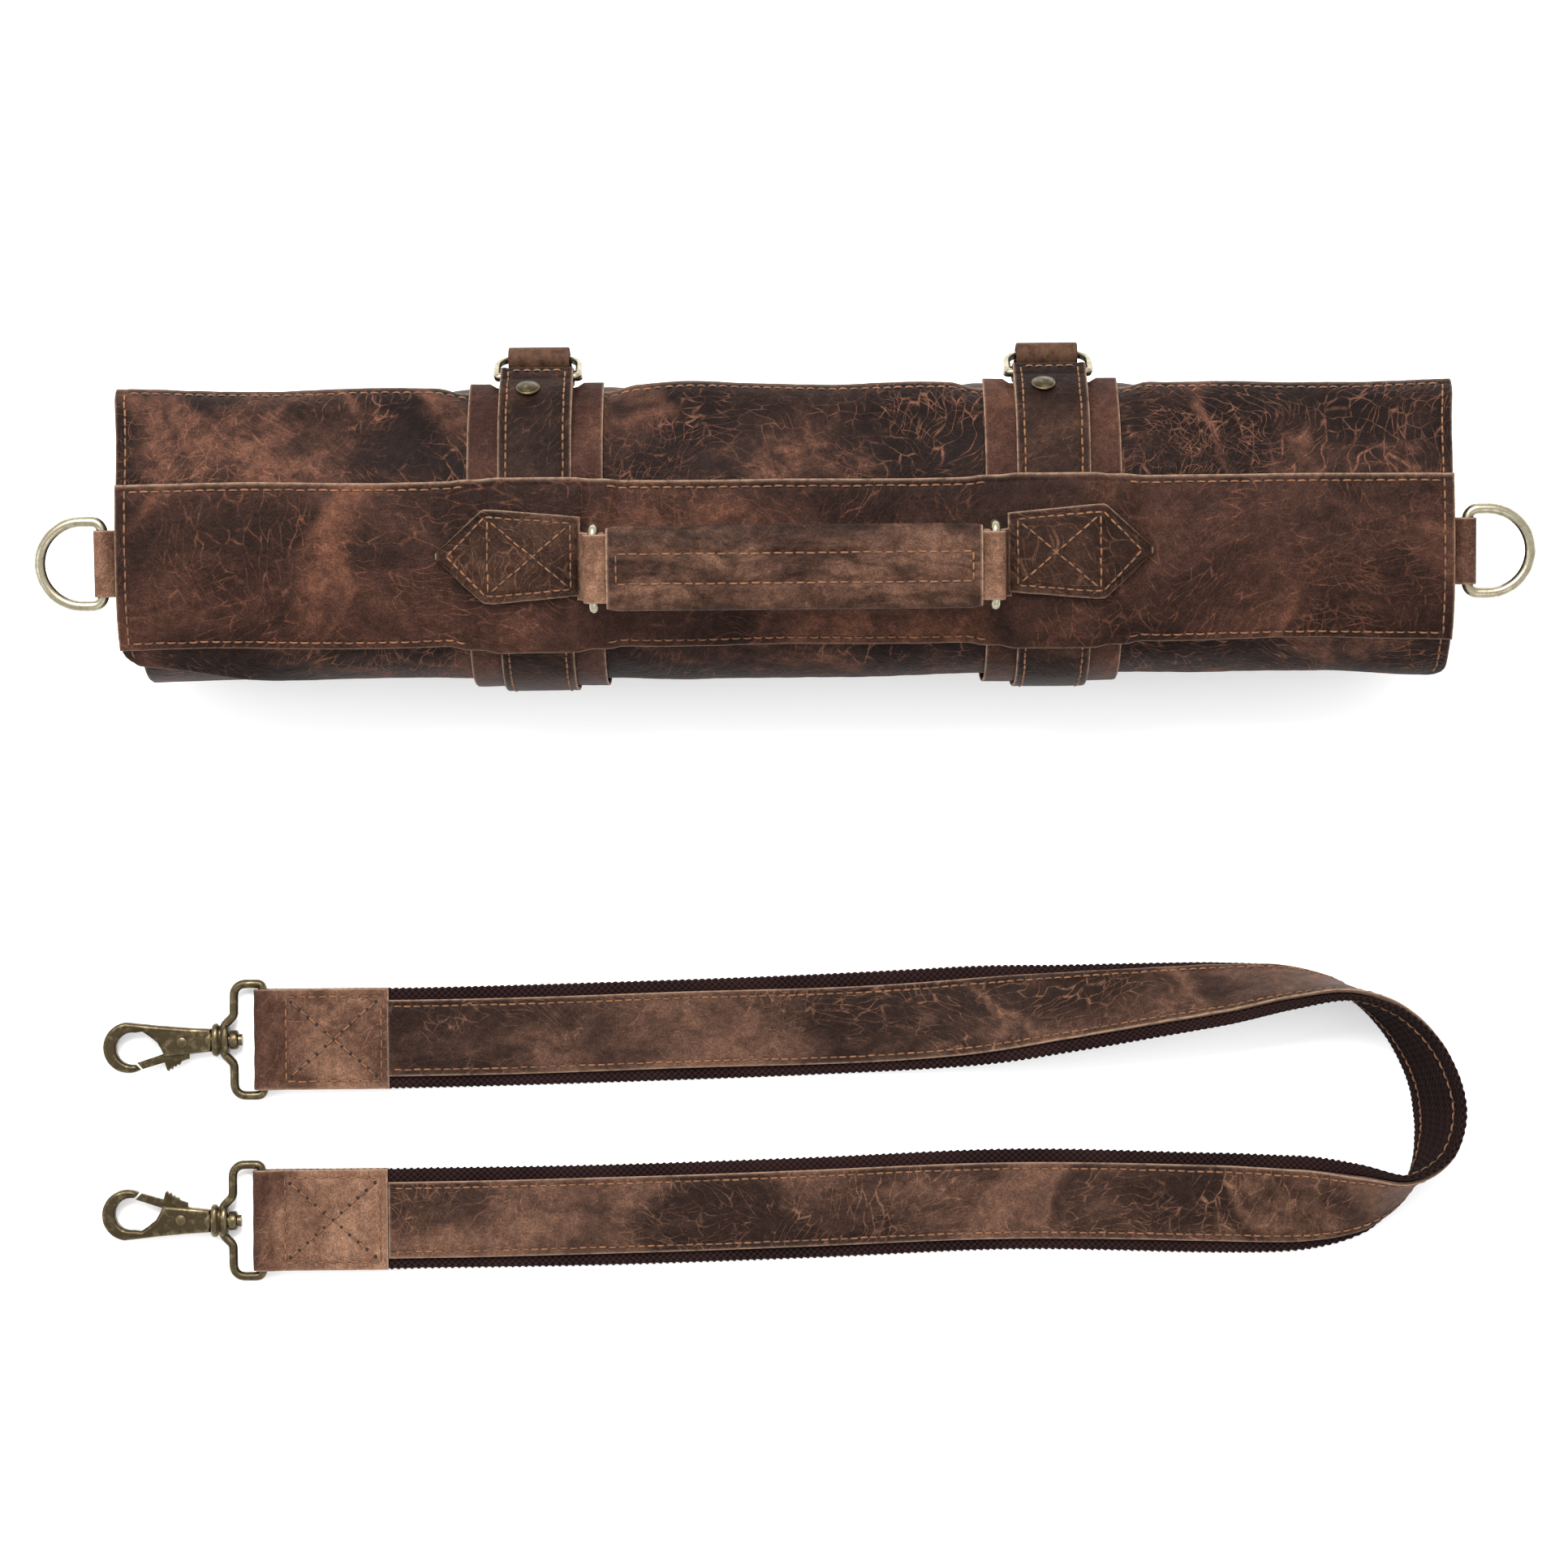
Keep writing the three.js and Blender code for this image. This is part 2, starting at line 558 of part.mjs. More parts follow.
[-1, 1].forEach((direction, i) => {
  const frame = frameAt(direction * (HALF_LENGTH + D_BAR_GAP), ROLL_Y + D_Y, ROLL_Z + D_HEIGHT,
    [THREE.MathUtils.degToRad(D_TILT), 0, 0]);
  const near = -direction * (tabEyeInner + TAB_OVERLAP);
  const far = -direction * (D_BAR_GAP + TAB_TAIL);
  const eye = join(
    runAlongY(eyeShape(0, 0, tabEyeInner + TAB_EYE_THICKNESS, tabEyeInner), D_TAB_WIDTH),
    runAlongY(slabShape(Math.min(near, far), Math.max(near, far),
      -TAB_THICKNESS / 2, TAB_THICKNESS / 2), D_TAB_WIDTH));
  addPart(`end_tab_${sides[i]}`, 'strap_leather', eye, frame);
  const ring = wireLoop(
    ringPath(D_SPAN - 2 * D_WIRE, D_REACH, D_CORNER, D_SPAN / 2 - D_WIRE), D_WIRE, 36);
  ring.rotateZ(-direction * Math.PI / 2);
  addPart(`end_d_ring_${sides[i]}`, 'ring_brass', ring, frame);
});

// ---- shoulder strap ----
// the middle of the webbing, from the upper arm round the bend to the lower arm:
// x, y, how far the leather side leans out of the bend in degrees, and the lift off the table
const strapRoute = [
  [-192.5, -81, 0, 1.8], [-176, -81, 0, 1.8], [-149, -81, 0, 1.8], [-134, -81, 0, 0],
  [-60, -79.5, 0, 0], [10, -77.5, 0, 0], [62, -75, 10, 0], [100, -72, 33, 0], [132, -69, 46, 0],
  [160, -66.5, 56, 0], [186, -64.5, 70, 0], [206, -67, 88, 0], [222, -75.5, 102, 0],
  [234, -90, 110, 0], [240, -108, 112, 0], [238, -124, 104, 0], [228, -136.5, 78, 0],
  [212, -143, 42, 0], [190, -145.5, 16, 0], [160, -145.5, 4, 0], [84, -143.5, 0, 0],
  [8, -146, 0, 0], [-70, -148, 0, 0], [-135, -148.5, 0, 0], [-150, -148.5, 0, 1.8],
  [-177, -148.5, 0, 1.8], [-193.5, -148.5, 0, 1.8],
];
const ROUTE_STEPS = 88;
const STRIP_COLUMNS = 4;

// the sections of the webbing along the route: middle, the way across it, and the leather's side
function strapSections() {
  const path = new THREE.CatmullRomCurve3(strapRoute.map(([x, y]) => new THREE.Vector3(x, y, 0)));
  const leans = new THREE.CatmullRomCurve3(
    strapRoute.map(([, , lean, lift]) => new THREE.Vector3(lean, lift, 0)));
  return Array.from({ length: ROUTE_STEPS + 1 }, (_, i) => {
    const t = i / ROUTE_STEPS;
    const tangent = path.getTangent(t);
    const outward = new THREE.Vector3(-tangent.y, tangent.x, 0);
    const { x: lean, y: lift } = leans.getPoint(t);
    const angle = THREE.MathUtils.degToRad(lean);
    const up = new THREE.Vector3(0, 0, 1);
    const across = outward.clone().multiplyScalar(Math.cos(angle)).addScaledVector(up, -Math.sin(angle));
    const face = outward.clone().multiplyScalar(Math.sin(angle)).addScaledVector(up, Math.cos(angle));
    const middle = path.getPoint(t);
    middle.z = Math.max(lift, 0) + Math.abs(across.z) * WEBBING_WIDTH / 2
      + Math.abs(face.z) * WEBBING_THICKNESS / 2;
    return { middle, across, face };
  });
}

// a strip that rides on the webbing: its width, and its two faces' heights from the middle
function stripSolid(sections, width, low, high) {
  const columns = Array.from({ length: STRIP_COLUMNS + 1 }, (_, i) => 2 * i / STRIP_COLUMNS - 1);
  const rim = [...columns.map((side) => [side, low]), ...columns.map((side) => [-side, high])];
  const count = rim.length;
  const vertices = sections.flatMap(({ middle, across, face }) => rim.flatMap(([side, height]) =>
    middle.clone().addScaledVector(across, side * width / 2).addScaledVector(face, height).toArray()));
  const indices = [];
  for (let i = 0; i < sections.length - 1; i += 1) {
    for (let k = 0; k < count; k += 1) {
      const a = count * i + k;
      const b = count * i + (k + 1) % count;
      indices.push(a, b, a + count, b, b + count, a + count);
    }
  }
  const last = count * (sections.length - 1);
  for (let k = 0; k < STRIP_COLUMNS; k += 1) {
    const [a, b, c, d] = [k, k + 1, count - 2 - k, count - 1 - k];
    indices.push(a, c, b, a, d, c, last + a, last + b, last + c, last + a, last + c, last + d);
  }
  const geometry = new THREE.BufferGeometry();
  geometry.setAttribute('position', new THREE.Float32BufferAttribute(vertices, 3));
  geometry.setIndex(indices);
  geometry.computeVertexNormals();
  return geometry;
}

const sections = strapSections();
const leatherSections = sections.filter(({ middle }) => middle.x > -146);
const STRIP_GAP = 0.8;
const faceGap = WEBBING_THICKNESS / 2 + STRIP_GAP;
addPart('strap_webbing', 'webbing',
  stripSolid(sections, WEBBING_WIDTH, -WEBBING_THICKNESS / 2, WEBBING_THICKNESS / 2));
addPart('strap_leather', 'strap_leather',
  stripSolid(leatherSections, STRAP_LEATHER_WIDTH, faceGap, faceGap + STRAP_LEATHER_THICKNESS));

// ---- strap ends: a leather patch folded round the swivel's bar and over the webbing ----
const BAR_INNER = SWIVEL_WIRE + 1.2 * CLEARANCE;
const upperLayer = WEBBING_THICKNESS + END_PATCH_THICKNESS * 1.5 + 2 * CLEARANCE;

function endPatchShape() {
  const radius = BAR_INNER + END_PATCH_THICKNESS / 2;
  const low = END_PATCH_THICKNESS / 2;
  const fold = Array.from({ length: 13 }, (_, i) => {
    const angle = THREE.MathUtils.degToRad(-75 - 210 * i / 12);
    return new THREE.Vector2(radius * Math.cos(angle), HOOK_AXIS_HEIGHT + radius * Math.sin(angle));
  });
  return sheetShape([
    new THREE.Vector2(END_PATCH_LENGTH - BAR_INNER, low), new THREE.Vector2(10, low),
    new THREE.Vector2(3.4, 1), ...fold, new THREE.Vector2(4.2, 6.2), new THREE.Vector2(8, upperLayer),
    new THREE.Vector2(END_PATCH_LENGTH - BAR_INNER, upperLayer),
  ], END_PATCH_THICKNESS);
}

// ---- swivel snap hooks ----
const COLLAR_X = -(SWIVEL_REACH - COLLAR_LENGTH);
const POST_RADIUS = 2.2;
const HEAD_RADIUS = 3.6;
const HEAD_LENGTH = 3.3;
const GATE_PIN = [11.1, -0.6];
const EYE_CENTRE = [31.2, -2.5];
const EYE_RADIUS = 9.5;
const EYE_HOLE_CENTRE = [29.8, -2.9];
const EYE_HOLE_RADIUS = 6;

// the wire loop round the strap's fold: square shoulders, then a slant down to the collar's neck
function swivelPath() {
  const side = SWIVEL_SPAN / 2 - SWIVEL_WIRE;
  const quarter = Math.PI / 2;
  const [slantOut, slantIn] = SWIVEL_SLANT;
  const barArc = SWIVEL_BAR_CORNER;
  const farY = SWIVEL_SHOULDER - SWIVEL_CORNER;
  const farX = side - SWIVEL_CORNER;
  const path = new THREE.Path();
  path.moveTo(0, 0);
  path.lineTo(side - barArc, 0);
  path.absarc(side - barArc, barArc, barArc, -quarter, 0);
  path.lineTo(side, farY);
  path.absarc(farX, farY, SWIVEL_CORNER, 0, quarter);
  path.lineTo(slantOut, SWIVEL_SHOULDER);
  path.lineTo(slantIn, SWIVEL_NECK);
  path.lineTo(-slantIn, SWIVEL_NECK);
  path.lineTo(-slantOut, SWIVEL_SHOULDER);
  path.lineTo(-farX, SWIVEL_SHOULDER);
  path.absarc(-farX, farY, SWIVEL_CORNER, quarter, 2 * quarter);
  path.lineTo(-side, barArc);
  path.absarc(barArc - side, barArc, barArc, 2 * quarter, 3 * quarter);
  path.lineTo(0, 0);
  return path;
}

// the loop, with the collar that the hook turns in
function swivelLoop() {
  const wire = wireLoop(swivelPath(), SWIVEL_WIRE, 60).rotateZ(Math.PI / 2);
  const collar = new THREE.CylinderGeometry(COLLAR_WIDTH / 2, COLLAR_WIDTH / 2, COLLAR_LENGTH, 24)
    .rotateZ(Math.PI / 2).scale(1, 1, COLLAR_HEIGHT / COLLAR_WIDTH)
    .translate(COLLAR_X - COLLAR_LENGTH / 2, 0, 0);
  const bore = new THREE.CylinderGeometry(POST_RADIUS + CLEARANCE, POST_RADIUS + CLEARANCE, 20, 16)
    .rotateZ(Math.PI / 2).translate(COLLAR_X - COLLAR_LENGTH / 2, 0, 0);
  return cut(join(wire, collar), bore);
}

// the hook lies in x and y with its tip towards +x, and its collar's outer face is at x = 0
function hookShape() {
  const [eyeX, eyeY] = EYE_CENTRE;
  const [holeX, holeY] = EYE_HOLE_CENTRE;
  const shape = new THREE.Shape();
  shape.moveTo(CLEARANCE, -4.3);
  shape.lineTo(CLEARANCE, 4.2);
  shape.lineTo(32.2, 7);
  shape.absarc(eyeX, eyeY, EYE_RADIUS, 1.46, -2.06, true);
  shape.lineTo(28.7, -8.8);
  shape.absarc(holeX, holeY, EYE_HOLE_RADIUS, -1.75, 1.75);
  shape.lineTo(23.4, 1.6);
  shape.lineTo(19.8, -1.3);
  shape.lineTo(18.1, -4.9);
  shape.lineTo(17.8, -6);
  shape.closePath();
  return shape;
}

function pinHole() {
  const radius = GATE_PIN_RADIUS + CLEARANCE;
  return new THREE.CylinderGeometry(radius, radius, 20, 16).rotateX(Math.PI / 2)
    .translate(...GATE_PIN, 0);
}

function hookBody() {
  const slot = polygon([[6.5, -9], [24, -9], [21.5, 1.2], [15, 2.9], [6.5, 2.9]]);
  const slotHalf = GATE_THICKNESS / 2 + CLEARANCE;
  const body = cut(runUp(hookShape(), -HOOK_THICKNESS / 2, HOOK_THICKNESS / 2),
    runUp(slot, -slotHalf, slotHalf), pinHole());
  const postLength = COLLAR_LENGTH + HEAD_LENGTH + CLEARANCE + 1.5;
  const post = new THREE.CylinderGeometry(POST_RADIUS, POST_RADIUS, postLength, 16)
    .rotateZ(Math.PI / 2).translate(1.5 - postLength / 2, 0, 0);
  const head = new THREE.CylinderGeometry(HEAD_RADIUS, HEAD_RADIUS, HEAD_LENGTH, 20)
    .rotateZ(Math.PI / 2).translate(-COLLAR_LENGTH - CLEARANCE - HEAD_LENGTH / 2, 0, 0);
  return join(body, post, head);
}

// the sprung gate, with a stepped thumb piece under the body
function hookGate() {
  const shape = polygon([[28.2, -8.2], [18.3, -5], [14.2, 0.9], [11.1, 2.2], [8.4, -0.6],
    [8.5, -5], [8.6, -6.9], [11.4, -7.8], [12.2, -9.2], [13.9, -9.6], [14.4, -10.7], [16, -11.6],
    [17.6, -10.2], [17.8, -8.2], [26, -10.6]]);
  return cut(runUp(shape, -GATE_THICKNESS / 2, GATE_THICKNESS / 2), pinHole());
}

function gatePin() {
  const under = HOOK_THICKNESS / 2 + CLEARANCE;
  const profile = [[0, -under - 0.5], [2.2, -under - 0.5], [2.2, -under], [GATE_PIN_RADIUS, -under],
    [GATE_PIN_RADIUS, under], [2.2, under], [2.2, under + 0.5], [0, under + 0.5]]
    .map(([radius, height]) => new THREE.Vector2(radius, height));
  return new THREE.LatheGeometry(profile, 16).rotateX(Math.PI / 2).translate(...GATE_PIN, 0);
}

// a leaf spring behind the gate's heel, bent over under the body's roof
function gateSpring() {
  const path = [[7.2, -4.4], [7.1, -1], [7.2, 1.9], [8, 2.5], [9, 2.6]]
    .map(([x, y]) => new THREE.Vector2(x, y));
  return runUp(sheetShape(path, 0.35), -GATE_THICKNESS / 2, GATE_THICKNESS / 2);
}

// the hooks lie on opposite faces, so their gates open towards each other
const strapEnds = [['upper', -196.4, -81, 0], ['lower', -197.4, -148.5, Math.PI]];

strapEnds.forEach(([level, barX, armY, roll]) => {
  const frame = frameAt(barX, armY, 0);
  addPart(`strap_end_patch_${level}`, 'strap_leather', runAlongY(endPatchShape(), END_PATCH_WIDTH),
    frame);
  const swivel = addPart(`swivel_loop_${level}`, 'hook_brass', swivelLoop(), frame);
  swivel.position.z = HOOK_AXIS_HEIGHT;
  const hook = new THREE.Group();
  hook.position.set(-SWIVEL_REACH, 0, HOOK_AXIS_HEIGHT);
  hook.rotation.set(roll, Math.PI, 0);
  frame.add(hook);
  addPart(`hook_body_${level}`, 'hook_brass', hookBody(), hook);
  addPart(`trigger_gate_${level}`, 'hook_brass', hookGate(), hook);
  addPart(`gate_pin_${level}`, 'hook_brass', gatePin(), hook);
  addPart(`gate_spring_${level}`, 'hook_brass', gateSpring(), hook);
});

export default group;
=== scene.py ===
# A rolled leather brush case with its shoulder strap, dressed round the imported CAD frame.
# Sizes below are in millimetres, as in the part's own source, and become metres in each mesh.
import math

import bpy
import numpy as np
from mathutils import Matrix, Vector


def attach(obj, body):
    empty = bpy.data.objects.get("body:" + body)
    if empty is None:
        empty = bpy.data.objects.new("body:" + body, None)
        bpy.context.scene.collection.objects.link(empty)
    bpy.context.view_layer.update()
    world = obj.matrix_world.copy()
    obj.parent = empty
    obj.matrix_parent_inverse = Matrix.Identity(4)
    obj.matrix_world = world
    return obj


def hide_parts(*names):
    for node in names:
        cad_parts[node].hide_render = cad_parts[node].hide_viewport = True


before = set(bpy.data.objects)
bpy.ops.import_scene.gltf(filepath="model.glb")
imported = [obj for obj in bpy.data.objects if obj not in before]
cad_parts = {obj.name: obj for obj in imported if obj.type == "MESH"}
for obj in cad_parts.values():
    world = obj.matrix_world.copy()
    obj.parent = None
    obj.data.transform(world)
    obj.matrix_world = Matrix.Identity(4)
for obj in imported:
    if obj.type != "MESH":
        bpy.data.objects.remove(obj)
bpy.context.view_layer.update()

MM = 0.001

# ---- the part's driving dimensions ----
CLEARANCE = 0.3
HALF_LENGTH = 236.0
ROLL_Y = 103.6
ROLL_Z = 45.3
ROLL_HALF_WIDTH = 53.0
ROLL_HALF_HEIGHT = 44.0
ROLL_SQUARENESS = 2.6
ROLL_FLAT = 2.0
TURN_PITCH = 5.8
COVER_THICKNESS = 2.6
FREE_EDGE = 168.0
COVER_ENDS = -382.0
CLOSURE_X = {"left": -88.0, "right": 95.0}
BACKING_THICKNESS = 1.2
BACKING_WIDTH = 48.0
STRAP_THICKNESS = 1.5
CLOSURE_STRAP_WIDTH = 26.0
STRAP_STACK = 3.3
BAND_THICKNESS = 2.0
BAND_UPPER = 78.0
BAND_LOWER = 134.0
BAR_Y = ROLL_Y + 55.6
RING_BAR_HEIGHT = 61.0
UPPER_BAR_Z = 66.2
RING_WIRE = 1.3
HANDLE_X = 3.2
HANDLE_BAR_X = 70.0
HANDLE_SEAT_Z = 94.6
HANDLE_Y = ROLL_Y - 14.0
HANDLE_TILT = 7.0
HANDLE_RING_WIRE = 1.7
HANDLE_BAR_HEIGHT = 4.1
HANDLE_LINK = 10.0
LOOP_WIDTH = 24.0
STITCH_PITCH = 3.9


# ---- camera, light and floor ----
CAMERA_HEIGHT = 1.51
VIEW_WIDTH_DEGREES = 22.0
CAMERA_TURN_DEGREES = -0.55


def add_camera():
    data = bpy.data.cameras.new("camera")
    data.sensor_width = 36.0
    data.lens = data.sensor_width / 2 / math.tan(math.radians(VIEW_WIDTH_DEGREES) / 2)
    data.clip_start = 0.05
    data.clip_end = 20.0
    camera = bpy.data.objects.new("camera", data)
    camera.location = (-0.00115, 0.0125, CAMERA_HEIGHT)
    camera.rotation_euler = (0.0, 0.0, math.radians(CAMERA_TURN_DEGREES))
    bpy.context.scene.collection.objects.link(camera)
    bpy.context.scene.camera = camera


def add_area_light(name, place, size, power, colour, aim=(0.0, 0.02, 0.03)):
    data = bpy.data.lights.new(name, "AREA")
    data.shape = "RECTANGLE"
    data.size, data.size_y = size
    data.energy = power
    data.color = colour
    light = bpy.data.objects.new(name, data)
    light.location = place
    direction = Vector(aim) - Vector(place)
    light.rotation_euler = direction.to_track_quat("-Z", "Y").to_euler()
    bpy.context.scene.collection.objects.link(light)


def add_studio():
    add_area_light("key_light", (-0.3, 1.2, 1.9), (1.5, 1.1), 82.0, (1.0, 0.985, 0.965))
    add_area_light("fill_light", (0.55, -1.25, 1.7), (1.3, 1.0), 7.0, (0.97, 0.985, 1.0))
    add_area_light("side_light", (-1.5, -0.1, 1.1), (0.9, 0.9), 6.0, (1.0, 1.0, 1.0))
    world = bpy.data.worlds.new("studio")
    bpy.context.scene.world = world
    world.use_nodes = True
    background = world.node_tree.nodes["Background"]
    background.inputs["Color"].default_value = (1.0, 1.0, 1.0, 1.0)
    background.inputs["Strength"].default_value = 1.25
    bpy.context.scene.view_settings.view_transform = "Standard"

    half = 3.0
    floor_mesh = bpy.data.meshes.new("floor")
    floor_mesh.from_pydata(
        [(-half, -half, 0), (half, -half, 0), (half, half, 0), (-half, half, 0)],
         [], [(0, 1, 2, 3)])
    floor = bpy.data.objects.new("floor", floor_mesh)
    floor.location.z = -0.0002
    bpy.context.scene.collection.objects.link(floor)
    material = bpy.data.materials.new("floor_paper")
    material.use_nodes = True
    shader = material.node_tree.nodes["Principled BSDF"]
    shader.inputs["Base Color"].default_value = (0.96, 0.96, 0.96, 1.0)
    shader.inputs["Roughness"].default_value = 0.9
    shader.inputs["Specular IOR Level"].default_value = 0.1
    floor_mesh.materials.append(material)


add_camera()
add_studio()


# ---- materials ----
STUDIO_SHARE = 0.42


def linear(colour):
    """A display colour, 0 to 255, as the linear reflectance that shows it in the studio."""
    values = [c / 255 for c in colour]
    return tuple(STUDIO_SHARE * (
        c / 12.92 if c <= 0.04045 else ((c + 0.055) / 1.055) ** 2.4) for c in values) + (1.0,)


class Nodes:
    """A material's node tree, with short calls for the nodes that the materials share."""

    def __init__(self, name):
        self.material = bpy.data.materials.new(name)
        self.material.use_nodes = True
        self.tree = self.material.node_tree
        self.shader = self.tree.nodes["Principled BSDF"]

    def add(self, kind, inputs=None, **settings):
        made = self.tree.nodes.new(kind)
        for key, value in settings.items():
            setattr(made, key, value)
        for key, value in (inputs or {}).items():
            self.put(made.inputs[key], value)
        return made

    def put(self, socket, value):
        if isinstance(value, bpy.types.NodeSocket):
            self.tree.links.new(value, socket)
        else:
            socket.default_value = value

    def math(self, operation, a, b=0.0, c=0.0, clamp=False):
        made = self.add("ShaderNodeMath", {0: a, 1: b, 2: c}, operation=operation)
        made.use_clamp = clamp
        return made.outputs[0]

    def ramp(self, value, low, high, out_low=0.0, out_high=1.0):
        made = self.add(
            "ShaderNodeMapRange",
            {"Value": value, "From Min": low, "From Max": high,
             "To Min": out_low, "To Max": out_high},
            interpolation_type="SMOOTHSTEP")
        return made.outputs["Result"]

    def mix(self, factor, a, b, blend="MIX"):
        made = self.add("ShaderNodeMix", data_type="RGBA", blend_type=blend)
        self.put(made.inputs["Factor"], factor)
        self.put(made.inputs[6], a)
        self.put(made.inputs[7], b)
        return made.outputs[2]

    def noise(self, coordinates, scale, detail=3.0, roughness=0.5, distortion=0.0, **settings):
        return self.add(
            "ShaderNodeTexNoise",
            {"Vector": coordinates, "Scale": scale, "Detail": detail, "Roughness": roughness,
             "Distortion": distortion}, **settings).outputs[0]

    def cracks(self, coordinates, scale, randomness=1.0):
        return self.add(
            "ShaderNodeTexVoronoi",
            {"Vector": coordinates, "Scale": scale, "Randomness": randomness},
            feature="DISTANCE_TO_EDGE", voronoi_dimensions="2D").outputs["Distance"]

    def attribute(self, name):
        return self.add("ShaderNodeAttribute", attribute_name=name, attribute_type="GEOMETRY")

    def moved(self, coordinates, shift=(0.0, 0.0, 0.0), scale=(1.0, 1.0, 1.0), turn=0.0):
        return self.add(
            "ShaderNodeMapping",
            {"Vector": coordinates, "Location": shift, "Scale": scale,
             "Rotation": (0.0, 0.0, math.radians(turn))}).outputs[0]

    def warped(self, coordinates, scale, reach):
        """The coordinates pushed about by up to reach metres, by noise of the given scale."""
        push = self.add("ShaderNodeTexNoise",
                        {"Vector": coordinates, "Scale": scale, "Detail": 3.0})
        centred = self.add(
            "ShaderNodeVectorMath", {0: push.outputs["Color"], 1: (0.5, 0.5, 0.5)},
            operation="SUBTRACT").outputs[0]
        scaled = self.add(
            "ShaderNodeVectorMath", {0: centred, "Scale": 2 * reach}, operation="SCALE").outputs[0]
        return self.add(
            "ShaderNodeVectorMath", {0: coordinates, 1: scaled}, operation="ADD").outputs[0]

    def bump(self, height, distance, strength=1.0, normal=None):
        made = self.add(
            "ShaderNodeBump", {"Height": height, "Distance": distance, "Strength": strength})
        if normal is not None:
            self.put(made.inputs["Normal"], normal)
        return made.outputs[0]


